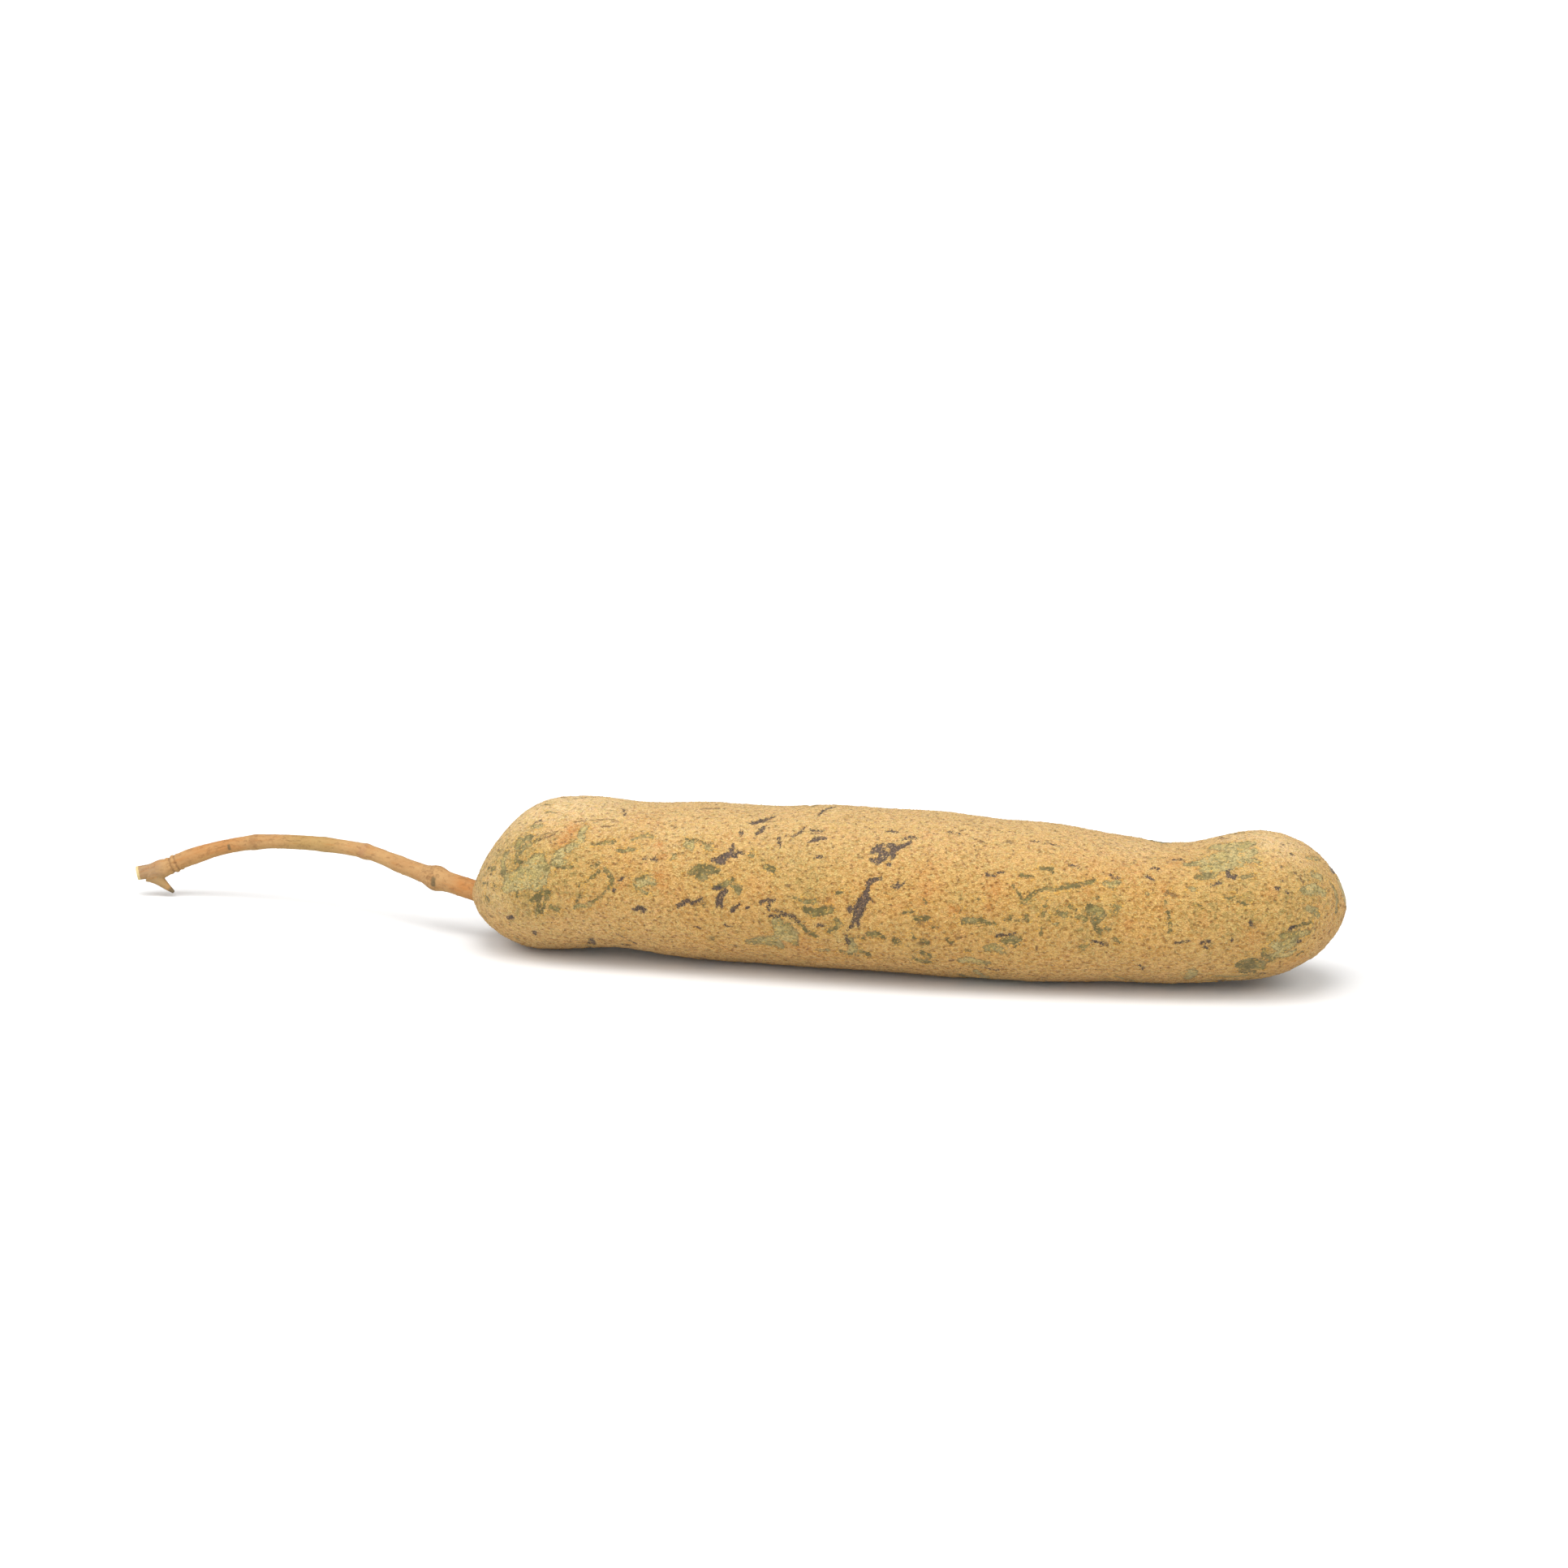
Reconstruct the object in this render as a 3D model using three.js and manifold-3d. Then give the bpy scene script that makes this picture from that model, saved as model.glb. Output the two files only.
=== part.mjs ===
import * as THREE from 'three';
import { mergeVertices } from 'three/addons/utils/BufferGeometryUtils.js';
import Module from 'manifold-3d';

const wasm = await Module();
wasm.setup();

// A tamarind pod with its woody stalk, picked and lying on its side.
// Millimetres, +Z up. The origin is on the resting plane, below the middle of the
// whole thing. +X runs along the pod, from the stalk towards the far end.

// ---- Pod ----
const podStart = -35.6; // X of the end that carries the stalk
const podLength = 129.5;
const stalkEndCap = 16.8; // stretch over which each end rounds off
const farEndCap = 16.7;
const capShoulder = 2.4; // more keeps the full girth for longer
const capPoint = 0.61; // 0.5 is a round tip, more draws it out
const podSides = 52;
const capRings = 11;
const bodyRings = 44;

// The pod's run: distance from the stalk end, sideways bow, height of the middle
// line, half height and half width of the oval section. It pinches once near the
// stalk and once before the far end, and the far end turns away and lifts.
const podStations = [
  { along: 0, bow: 0.7, middle: 7.2, half: 8.8, wide: 11.8 },
  { along: 8, bow: -0.8, middle: 10.3, half: 11.7, wide: 12.9 },
  { along: 16, bow: -1.5, middle: 11.6, half: 11.4, wide: 12.9 },
  { along: 24, bow: -1.9, middle: 11.9, half: 10.9, wide: 12.8 },
  { along: 33, bow: -2.1, middle: 11.7, half: 11.5, wide: 12.9 },
  { along: 45, bow: -2.3, middle: 11.8, half: 11.7, wide: 13.1 },
  { along: 62, bow: -2.3, middle: 11.8, half: 12.0, wide: 13.4 },
  { along: 84, bow: -2.1, middle: 11.5, half: 11.6, wide: 12.9 },
  { along: 97, bow: -1.3, middle: 11.0, half: 10.7, wide: 12.2 },
  { along: 106, bow: -0.3, middle: 10.5, half: 10.1, wide: 11.8 },
  { along: 115, bow: 1.2, middle: 11.7, half: 10.9, wide: 12.1 },
  { along: 129.5, bow: 4.2, middle: 12.1, half: 11.2, wide: 12.5 },
];

// Low unevenness of the rind: height, then waves along and around the pod
const seedSwell = { height: 0.12, pitch: 17, phase: 0.5 };
const threeSidedSwell = { height: 0.1, around: 3, pitch: 57 };
const fiveSidedSwell = { height: 0.06, around: 5, pitch: -31 };

// ---- Stalk ----
const stalkPath = [
  [-31.8, -0.8, 6.5], // sunk in the pod
  [-37.5, 1.3, 7.3],
  [-43.4, 3.9, 7.9],
  [-49.1, 6.5, 8.7],
  [-55.2, 8.9, 9.8],
  [-61.5, 10.9, 10.0],
  [-68.0, 12.4, 9.8],
  [-74.5, 13.6, 9.2],
  [-80.6, 14.0, 7.9],
  [-86.1, 13.5, 6.1],
  [-90.3, 12.6, 4.3],
  [-94.2, 11.2, 3.6], // cut end
];
const stalkRadius = 1.12;
const stalkFootRadius = 1.54; // next to the pod
const stalkCutRadius = 1.1;
const stalkFootStart = 6; // the foot's thickness fades out from here
const stalkFootEnd = 27;
const stalkCutLength = 5;
const stalkSides = 16;
const stalkRings = 88;
const socketGap = 0.3; // clearance all round the sunk foot
const socketLength = 8;
const socketRings = 12;

// Swellings on the stalk: distance from its sunk end, extra radius, half length
const stalkKnots = [
  { at: 12.2, rise: 0.5, reach: 1.5 }, // knuckle
  { at: 20, rise: 0.08, reach: 1.2 },
  { at: 26.4, rise: 0.16, reach: 0.9 },
  { at: 34, rise: 0.08, reach: 1.1 },
  { at: 46.3, rise: 0.12, reach: 1.3 },
  { at: 57.4, rise: 0.2, reach: 3.2 }, // thickens towards the fork
  { at: 60.2, rise: 0.14, reach: 0.7 },
  { at: 62.6, rise: 0.34, reach: 1.3 }, // where the spur branches off
];

// The broken side twig, from inside the fork down to its tip
const spurPath = [
  [-92.0, 12.2, 3.6],
  [-91.2, 12.2, 2.75],
  [-90.4, 12.1, 1.95],
  [-89.6, 11.9, 1.25],
  [-88.9, 11.6, 0.8],
];
const spurRootRadius = 1.25;
const spurTipRadius = 0.28;
const spurTaper = 0.75; // under 1 thins it quickly at the root
const spurSides = 10;
const spurRings = 12;

const upward = new THREE.Vector3(0, 0, 1);
const backward = new THREE.Vector3(0, 1, 0);

// Value of one station entry at any distance along, as a smooth cubic
function stationValue(stations, key, along) {
  let i = 0;
  while (i < stations.length - 2 && along > stations[i + 1].along) i += 1;
  const slopeAt = (k) => {
    const before = stations[Math.max(k - 1, 0)];
    const after = stations[Math.min(k + 1, stations.length - 1)];
    return (after[key] - before[key]) / (after.along - before.along);
  };
  const step = stations[i + 1].along - stations[i].along;
  const w = (along - stations[i].along) / step;
  const w2 = w * w;
  const w3 = w2 * w;
  return (2 * w3 - 3 * w2 + 1) * stations[i][key]
    + (w3 - 2 * w2 + w) * step * slopeAt(i)
    + (3 * w2 - 2 * w3) * stations[i + 1][key]
    + (w3 - w2) * step * slopeAt(i + 1);
}

// Share of the full section left at a distance from the rounded end
function capShare(distance, capLength) {
  if (distance >= capLength) return 1;
  const inward = 1 - distance / capLength;
  return Math.max(0, 1 - inward ** capShoulder) ** capPoint;
}

// Ring positions along the pod, closer together where the ends round off
function podRingPositions() {
  const rings = [];
  for (let k = 0; k < capRings; k += 1) {
    rings.push(stalkEndCap * (1 - Math.cos((Math.PI / 2) * (k / capRings))));
  }
  const bodyLength = podLength - stalkEndCap - farEndCap;
  for (let k = 0; k <= bodyRings; k += 1) {
    rings.push(stalkEndCap + bodyLength * (k / bodyRings));
  }
  for (let k = capRings - 1; k >= 0; k -= 1) {
    rings.push(podLength - farEndCap * (1 - Math.cos((Math.PI / 2) * (k / capRings))));
  }
  return rings;
}

function rindSwell(along, around) {
  const turn = 2 * Math.PI;
  const seeds = seedSwell.height
    * Math.sin(turn * (along / seedSwell.pitch) + seedSwell.phase)
    * (0.6 + 0.4 * Math.cos(around));
  const three = threeSidedSwell.height
    * Math.sin(threeSidedSwell.around * around + turn * (along / threeSidedSwell.pitch));
  const five = fiveSidedSwell.height
    * Math.sin(fiveSidedSwell.around * around + turn * (along / fiveSidedSwell.pitch));
  return seeds + three + five;
}

function podMiddle(along) {
  return new THREE.Vector3(
    podStart + along,
    stationValue(podStations, 'bow', along),
    stationValue(podStations, 'middle', along),
  );
}

// Unit directions across a run: towards its side and towards its top
function crossDirections(tangent, roughlyUp) {
  const side = new THREE.Vector3().crossVectors(roughlyUp, tangent).normalize();
  const top = new THREE.Vector3().crossVectors(tangent, side);
  return { side, top };
}

// The pod's sections stand upright, square to its run as seen from above
function podHeading(along) {
  const halfStep = 0.5;
  const ahead = podMiddle(Math.min(along + halfStep, podLength));
  const behind = podMiddle(Math.max(along - halfStep, 0));
  return ahead.sub(behind).setZ(0).normalize();
}

// A closed solid from a geometry: shared corners merged, collapsed faces dropped
function toSolid(geometry) {
  geometry.deleteAttribute('normal');
  geometry.deleteAttribute('uv');
  const merged = mergeVertices(geometry);
  const index = merged.index.array;
  const kept = [];
  for (let k = 0; k < index.length; k += 3) {
    const [a, b, c] = [index[k], index[k + 1], index[k + 2]];
    if (a !== b && b !== c && c !== a) kept.push(a, b, c);
  }
  return new wasm.Manifold(new wasm.Mesh({
    numProp: 3,
    vertProperties: new Float32Array(merged.attributes.position.array),
    triVerts: new Uint32Array(kept),
  }));
}

function toGeometry(solid) {
  const mesh = solid.getMesh();
  const geometry = new THREE.BufferGeometry();
  geometry.setAttribute('position', new THREE.BufferAttribute(mesh.vertProperties, 3));
  geometry.setIndex(new THREE.BufferAttribute(mesh.triVerts, 1));
  geometry.computeVertexNormals();
  return geometry;
}

// Turns a straight lathe body into its bent form: place(along, around, radius)
// gives the point for each corner. Around is 0 at the top of a section and grows
// towards its side, and radius is the profile's own there.
function bendLathe(profile, sides, place) {
  const geometry = new THREE.LatheGeometry(profile, sides);
  const position = geometry.attributes.position;
  for (let k = 0; k < position.count; k += 1) {
    const across = position.getX(k);
    const deep = position.getZ(k);
    const point = place(position.getY(k), Math.atan2(deep, across), Math.hypot(across, deep));
    position.setXYZ(k, point.x, point.y, point.z);
  }
  return geometry;
}

// The lathe body's radius is a share of the section, 1 between the rounded ends
function makePodBody() {
  const profile = podRingPositions().map((along) => {
    const share = capShare(along, stalkEndCap) * capShare(podLength - along, farEndCap);
    return new THREE.Vector2(share, along);
  });
  const body = bendLathe(profile, podSides, (along, around, share) => {
    const { side, top } = crossDirections(podHeading(along), upward);
    const swell = rindSwell(along, around);
    const half = (stationValue(podStations, 'half', along) + swell) * share;
    const wide = (stationValue(podStations, 'wide', along) + swell) * share;
    const point = podMiddle(along)
      .addScaledVector(top, half * Math.cos(around))
      .addScaledVector(side, wide * Math.sin(around));
    point.z = Math.max(point.z, 0); // the rind lies flat where it rests
    return point;
  });
  return toSolid(body);
}

function pathCurve(points) {
  const vectors = points.map(([x, y, z]) => new THREE.Vector3(x, y, z));
  return new THREE.CatmullRomCurve3(vectors, false, 'catmullrom', 0.5);
}

// A closed round rod along a curve from one distance to another, its radius given
// at each distance; roughlyUp is any direction that the curve never runs in
function makeRod(curve, radiusAt, { from, to, rings, sides, roughlyUp }) {
  const length = curve.getLength();
  const profile = [new THREE.Vector2(0, from)];
  for (let k = 0; k <= rings; k += 1) {
    const along = THREE.MathUtils.lerp(from, to, k / rings);
    profile.push(new THREE.Vector2(radiusAt(along), along));
  }
  profile.push(new THREE.Vector2(0, to));
  const rod = bendLathe(profile, sides, (along, around, radius) => {
    const u = Math.min(along / length, 1);
    const { side, top } = crossDirections(curve.getTangentAt(u), roughlyUp);
    return curve.getPointAt(u)
      .addScaledVector(top, radius * Math.cos(around))
      .addScaledVector(side, radius * Math.sin(around));
  });
  return toSolid(rod);
}

const stalkCurve = pathCurve(stalkPath);
const stalkLength = stalkCurve.getLength();
const spurCurve = pathCurve(spurPath);
const spurLength = spurCurve.getLength();

function stalkRadiusAt(along) {
  const { lerp, smoothstep } = THREE.MathUtils;
  const foot = smoothstep(along, stalkFootStart, stalkFootEnd);
  const cut = smoothstep(along, stalkLength - stalkCutLength, stalkLength);
  let radius = lerp(lerp(stalkFootRadius, stalkRadius, foot), stalkCutRadius, cut);
  for (const knot of stalkKnots) {
    radius += knot.rise * Math.exp(-(((along - knot.at) / knot.reach) ** 2));
  }
  return radius;
}

function spurRadiusAt(along) {
  const thinned = (along / spurLength) ** spurTaper;
  return THREE.MathUtils.lerp(spurRootRadius, spurTipRadius, thinned);
}

const stem = makeRod(stalkCurve, stalkRadiusAt, {
  from: socketGap, to: stalkLength, rings: stalkRings, sides: stalkSides, roughlyUp: upward,
});
const spur = makeRod(spurCurve, spurRadiusAt, {
  from: 0, to: spurLength, rings: spurRings, sides: spurSides, roughlyUp: backward,
});
const socket = makeRod(stalkCurve, (along) => stalkRadiusAt(along) + socketGap, {
  from: 0, to: socketLength, rings: socketRings, sides: stalkSides, roughlyUp: upward,
});

const podMaterial = new THREE.MeshStandardMaterial({ color: 0xbd9258, roughness: 0.85, metalness: 0 });
const stalkMaterial = new THREE.MeshStandardMaterial({ color: 0xb98a58, roughness: 0.8, metalness: 0 });

const pod = new THREE.Mesh(toGeometry(makePodBody().subtract(socket)), podMaterial);
pod.name = 'pod';

const stalk = new THREE.Mesh(toGeometry(stem.add(spur)), stalkMaterial);
stalk.name = 'stalk';

const tamarindPod = new THREE.Group();
tamarindPod.add(pod, stalk);

export default tamarindPod;
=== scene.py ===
import math
import random

import bpy
import numpy as np
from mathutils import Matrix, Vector
from mathutils.bvhtree import BVHTree


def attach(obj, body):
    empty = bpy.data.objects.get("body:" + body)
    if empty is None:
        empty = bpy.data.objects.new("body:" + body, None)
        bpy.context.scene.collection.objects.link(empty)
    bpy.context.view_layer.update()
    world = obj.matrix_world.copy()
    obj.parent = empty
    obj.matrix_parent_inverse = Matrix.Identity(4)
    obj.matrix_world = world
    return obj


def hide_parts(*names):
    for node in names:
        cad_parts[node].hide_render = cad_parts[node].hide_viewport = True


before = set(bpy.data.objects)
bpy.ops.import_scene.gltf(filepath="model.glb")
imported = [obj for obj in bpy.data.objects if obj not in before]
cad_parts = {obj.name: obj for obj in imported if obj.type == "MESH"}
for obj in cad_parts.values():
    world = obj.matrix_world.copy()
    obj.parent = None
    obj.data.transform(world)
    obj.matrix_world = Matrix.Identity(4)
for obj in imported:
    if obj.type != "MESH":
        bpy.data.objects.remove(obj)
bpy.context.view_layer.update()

# A tamarind pod with its woody stalk, lying on a pale table.
# Shapes are worked out in millimetres and become metres when a mesh is made.
mm = 0.001
print("stage: frame loaded")

# The camera, with its place in millimetres and its angles in degrees
cameraView = {
    "place": (137.065, -565.812, 170.894),
    "azimuth": 12.5,
    "elevation": 14.0,
    "lens": 93.6,
    "sensor": 36.0,
    "imageSide": 1932,
    "nearest": 0.01,  # metres in which it sees
    "farthest": 50,
}


def addCamera(view):
    data = bpy.data.cameras.new("camera")
    data.lens = view["lens"]
    data.sensor_width = view["sensor"]
    data.clip_start = view["nearest"]
    data.clip_end = view["farthest"]
    camera = bpy.data.objects.new("camera", data)
    camera.location = Vector(view["place"]) * mm
    camera.rotation_euler = (math.radians(90 - view["elevation"]), 0, math.radians(view["azimuth"]))
    bpy.context.scene.collection.objects.link(camera)
    bpy.context.scene.camera = camera
    return camera


camera = addCamera(cameraView)
bpy.context.view_layer.update()
cameraPlace = Vector(cameraView["place"])
cameraTurn = camera.matrix_world.to_3x3()
pixelFocus = cameraView["lens"] / cameraView["sensor"] * cameraView["imageSide"]


def sightLine(column, row):
    # direction in which an image pixel looks
    middle = cameraView["imageSide"] / 2
    inCamera = Vector(((column - middle) / pixelFocus, (middle - row) / pixelFocus, -1))
    return (cameraTurn @ inCamera).normalized()


def socketOf(sockets, key):
    # a socket by its number, its identifier or the name that it shows
    if isinstance(key, int):
        return sockets[key]
    for socket in sockets:
        if socket.identifier == key:
            return socket
    return next(socket for socket in sockets if socket.name == key and socket.enabled)


class Wire:
    # one output socket; sums written with it add Math nodes to its tree
    def __init__(self, tree, socket):
        self.tree = tree
        self.socket = socket

    def __getitem__(self, key):
        return Wire(self.tree, socketOf(self.socket.node.outputs, key))

    def node(self, kind, settings=None, sockets=None):
        return addNode(self.tree, kind, settings, sockets)

    def maths(self, operation, first, second):
        return self.node("ShaderNodeMath", {"operation": operation}, {0: first, 1: second})

    def __add__(self, other):
        return self.maths("ADD", self, other)

    def __radd__(self, other):
        return self.maths("ADD", other, self)

    def __sub__(self, other):
        return self.maths("SUBTRACT", self, other)

    def __rsub__(self, other):
        return self.maths("SUBTRACT", other, self)

    def __mul__(self, other):
        return self.maths("MULTIPLY", self, other)

    def __rmul__(self, other):
        return self.maths("MULTIPLY", other, self)

    def __truediv__(self, other):
        return self.maths("DIVIDE", self, other)

    def __rtruediv__(self, other):
        return self.maths("DIVIDE", other, self)

    def atMost(self, other):
        return self.maths("MINIMUM", self, other)

    def fade(self, low, high):
        # 0 below low, 1 above high, smooth between
        return self.node("ShaderNodeMapRange", {"interpolation_type": "SMOOTHSTEP"},
                         {"Value": self, "From Min": low, "From Max": high})


def addNode(tree, kind, settings=None, sockets=None):
    # returns the wire of its first shown output, or the node itself if it has none
    node = tree.nodes.new(kind)
    for key, value in (settings or {}).items():
        setattr(node, key, value)
    for key, value in (sockets or {}).items():
        socket = socketOf(node.inputs, key)
        if isinstance(value, Wire):
            tree.links.new(value.socket, socket)
        else:
            socket.default_value = value
    shown = [socket for socket in node.outputs if socket.enabled]
    return Wire(tree, shown[0]) if shown else node


def tint(red, green, blue):
    # a colour from its 0-255 screen values
    linear = []
    for value in (red, green, blue):
        share = value / 255
        linear.append(share / 12.92 if value < 10 else ((share + 0.055) / 1.055) ** 2.4)
    return (*linear, 1.0)


def mixColour(mask, under, over):
    return mask.node("ShaderNodeMix", {"data_type": "RGBA"},
                     {"Factor_Float": mask, "A_Color": under, "B_Color": over})


def coatOver(colour, coats, colours):
    # lays each coat of (mask, colour name) over the ones before
    for mask, name in coats:
        colour = mixColour(mask, colour, colours[name])
    return colour


def vectorMaths(operation, wire, sockets):
    return wire.node("ShaderNodeVectorMath", {"operation": operation}, sockets)


def noiseAt(point, scale, detail=2.0, rough=0.5, shift=0.0):
    # shift reads another part of the noise, so that two patterns don't coincide
    moved = point
    if shift:
        moved = vectorMaths("ADD", point, {0: point, 1: (shift, -shift, shift)})
    return point.node("ShaderNodeTexNoise", None,
                      {"Vector": moved, "Scale": scale, "Detail": detail, "Roughness": rough})


def cellsAt(point, scale):
    return point.node("ShaderNodeTexVoronoi", None, {"Vector": point, "Scale": scale})


def stretched(point, factors):
    return vectorMaths("MULTIPLY", point, {0: point, 1: factors})


def storedValue(tree, name):
    # a number kept on the mesh, in a geometry tree or in a material
    if tree.bl_idname == "GeometryNodeTree":
        return addNode(tree, "GeometryNodeInputNamedAttribute", {"data_type": "FLOAT"}, {"Name": name})
    return addNode(tree, "ShaderNodeAttribute", {"attribute_name": name})["Fac"]


def millimetrePoint(place):
    return vectorMaths("SCALE", place, {"Vector": place, "Scale": 1 / mm})


def newMaterial(name):
    # an empty material, and the wire of the place on the piece in millimetres
    material = bpy.data.materials.new(name)
    material.use_nodes = True
    tree = material.node_tree
    tree.nodes.clear()
    return material, tree, millimetrePoint(addNode(tree, "ShaderNodeTexCoord")["Object"])


def heightOf(tree, point):
    return addNode(tree, "ShaderNodeSeparateXYZ", None, {0: point})["Z"]


def finishMaterial(tree, sockets):
    shader = addNode(tree, "ShaderNodeBsdfPrincipled", None, sockets)
    addNode(tree, "ShaderNodeOutputMaterial", None, {"Surface": shader})


def geometryTree(name, inputs, whole=()):
    # a Geometry Nodes tree with an input for each name; returns it with their wires
    tree = bpy.data.node_groups.new(name, "GeometryNodeTree")
    tree.interface.new_socket("Geometry", in_out="INPUT", socket_type="NodeSocketGeometry")
    tree.interface.new_socket("Geometry", in_out="OUTPUT", socket_type="NodeSocketGeometry")
    for label in inputs:
        kind = "NodeSocketInt" if label in whole else "NodeSocketFloat"
        tree.interface.new_socket(label, in_out="INPUT", socket_type=kind)
    return tree, addNode(tree, "NodeGroupInput")


def finishTree(tree, geometry, material):
    real = addNode(tree, "GeometryNodeRealizeInstances", None, {"Geometry": geometry})
    dressed = addNode(tree, "GeometryNodeSetMaterial", None, {"Geometry": real, "Material": material})
    addNode(tree, "NodeGroupOutput", None, {0: dressed})


def pushOut(tree, given, rise, material):
    # ends a tree by moving the skin outwards by rise, in millimetres
    normal = addNode(tree, "GeometryNodeInputNormal")
    offset = vectorMaths("SCALE", normal, {"Vector": normal, "Scale": rise * mm})
    moved = addNode(tree, "GeometryNodeSetPosition", None, {"Geometry": given["Geometry"], "Offset": offset})
    finishTree(tree, moved, material)


def evaluatedMesh(target, **options):
    # the object's mesh as its modifiers leave it
    bpy.context.view_layer.update()
    depsgraph = bpy.context.evaluated_depsgraph_get()
    return bpy.data.meshes.new_from_object(target.evaluated_get(depsgraph), depsgraph=depsgraph, **options)


def runTree(target, tree, values):
    # runs the tree on the object and returns the result as a plain mesh
    modifier = target.modifiers.new(tree.name, "NODES")
    modifier.node_group = tree
    for item in tree.interface.items_tree:
        if item.item_type == "SOCKET" and item.in_out == "INPUT" and item.name in values:
            modifier[item.identifier] = values[item.name]
    mesh = evaluatedMesh(target, preserve_all_data_layers=True)
    target.modifiers.remove(modifier)
    return mesh


def gridMesh(name, points, rings, sides, startTip, endTip):
    # closed skin over rings of points, with a fan at both tips
    corners = np.vstack([points.reshape(-1, 3), startTip, endTip]) * mm
    index = np.arange(rings * sides).reshape(rings, sides)
    following = np.roll(index, -1, axis=1)
    quads = np.stack([index[:-1], index[1:], following[1:], following[:-1]], axis=-1).reshape(-1, 4)
    faces = quads.tolist()
    first = rings * sides
    for k in range(sides):
        faces.append((first, int(index[0, k]), int(following[0, k])))
        faces.append((first + 1, int(following[-1, k]), int(index[-1, k])))
    mesh = bpy.data.meshes.new(name)
    mesh.from_pydata(corners.tolist(), [], faces)
    mesh.update()
    return mesh


def addObject(name, mesh):
    made = bpy.data.objects.new(name, mesh)
    bpy.context.scene.collection.objects.link(made)
    return made


def keepValues(mesh, name, values):
    layer = mesh.attributes.new(name, "FLOAT", "POINT")
    layer.data.foreach_set("value", np.asarray(values, dtype=np.float32))


def cornerValues(mesh, kind):
    # "co" or "normal" of every corner, one row each
    flat = np.zeros(len(mesh.vertices) * 3, dtype=np.float32)
    mesh.vertices.foreach_get(kind, flat)
    return flat.reshape(-1, 3)


def cornersOf(mesh):
    return cornerValues(mesh, "co").astype(float) / mm


def moveCorners(mesh, metres):
    mesh.vertices.foreach_set("co", metres.astype(np.float32).ravel())
    mesh.update()


# The pod's shape, in millimetres
podShape = {
    "start": -35.6,  # X of the end that carries the stalk
    "length": 129.5,
    "stalkEndCap": 16.8,  # stretch over which each end rounds off
    "farEndCap": 16.7,
    "shoulder": 2.4,  # more keeps the full girth for longer
    "point": 0.61,  # 0.5 is a round tip, more draws it out
    "rings": 404,
    "sides": 242,
    "usualRadius": 12,
    "seedSwell": (0.12, 17, 0.5),  # height, length of a wave, start of the first
    "seedSwellShares": (0.6, 0.4),  # of it all round, and more on top
    "threeSidedSwell": (0.1, 57),  # height, length of a turn
    "fiveSidedSwell": (0.06, -31),
    "collarRise": 0.32,  # lip of rind round the stalk
    "collarRadius": 2.35,
    "collarWidth": 0.75,
    "collarAlong": 9,  # stretch of the stalk that it follows
    "collarReach": 12,  # from the stalk's sunk end
}

# distance from the stalk end, sideways bow, height of the middle, half height, half width
podStations = np.array([
    (0, 0.7, 7.2, 8.8, 11.8),
    (8, -0.8, 10.3, 11.7, 12.9),
    (16, -1.5, 11.6, 11.4, 12.9),
    (24, -1.9, 11.9, 10.9, 12.8),
    (33, -2.1, 11.7, 11.5, 12.9),
    (45, -2.3, 11.8, 11.7, 13.1),
    (62, -2.3, 11.8, 12.0, 13.4),
    (84, -2.1, 11.5, 11.6, 12.9),
    (97, -1.3, 11.0, 10.7, 12.2),
    (106, -0.3, 10.5, 10.1, 11.8),
    (115, 1.2, 11.7, 10.9, 12.1),
    (129.5, 4.2, 12.1, 11.2, 12.5),
])
bow, middle, half, wide = 1, 2, 3, 4


def stationValue(column, along):
    at = podStations[:, 0]
    value = podStations[:, column]
    last = len(at) - 1
    before = np.maximum(np.arange(last + 1) - 1, 0)
    after = np.minimum(np.arange(last + 1) + 1, last)
    slope = (value[after] - value[before]) / (at[after] - at[before])
    i = np.clip(np.searchsorted(at, along, side="right") - 1, 0, last - 1)
    step = at[i + 1] - at[i]
    w = (along - at[i]) / step
    return ((2 * w**3 - 3 * w**2 + 1) * value[i] + (w**3 - 2 * w**2 + w) * step * slope[i]
            + (3 * w**2 - 2 * w**3) * value[i + 1] + (w**3 - w**2) * step * slope[i + 1])


def capShare(distance, capLength):
    inward = np.clip(1 - distance / capLength, 0, 1)
    return np.maximum(0, 1 - inward**podShape["shoulder"])**podShape["point"]


def sectionShare(along):
    toFarEnd = podShape["length"] - along
    return capShare(along, podShape["stalkEndCap"]) * capShare(toFarEnd, podShape["farEndCap"])


def rindSwell(along, around):
    height, pitch, phase = podShape["seedSwell"]
    allRound, onTop = podShape["seedSwellShares"]
    swell = height * np.sin(2 * np.pi * along / pitch + phase) * (allRound + onTop * np.cos(around))
    for name, corners in (("threeSidedSwell", 3), ("fiveSidedSwell", 5)):
        height, pitch = podShape[name]
        swell = swell + height * np.sin(corners * around + 2 * np.pi * along / pitch)
    return swell


headingStep = 0.5  # mm each way over which the pod's heading is taken


def podPoints(along, around):
    # along and around are arrays of the same shape; around is 0 at the top
    share = sectionShare(along)
    swell = rindSwell(along, around)
    ahead = np.minimum(along + headingStep, podShape["length"])
    behind = np.maximum(along - headingStep, 0)
    run = ahead - behind
    drift = stationValue(bow, ahead) - stationValue(bow, behind)
    size = np.hypot(run, drift)
    up = (stationValue(half, along) + swell) * share * np.cos(around)
    out = (stationValue(wide, along) + swell) * share * np.sin(around)
    x = podShape["start"] + along - out * drift / size
    y = stationValue(bow, along) + out * run / size
    z = np.maximum(stationValue(middle, along) + up, 0)
    return np.stack([x, y, z], axis=-1)


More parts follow.
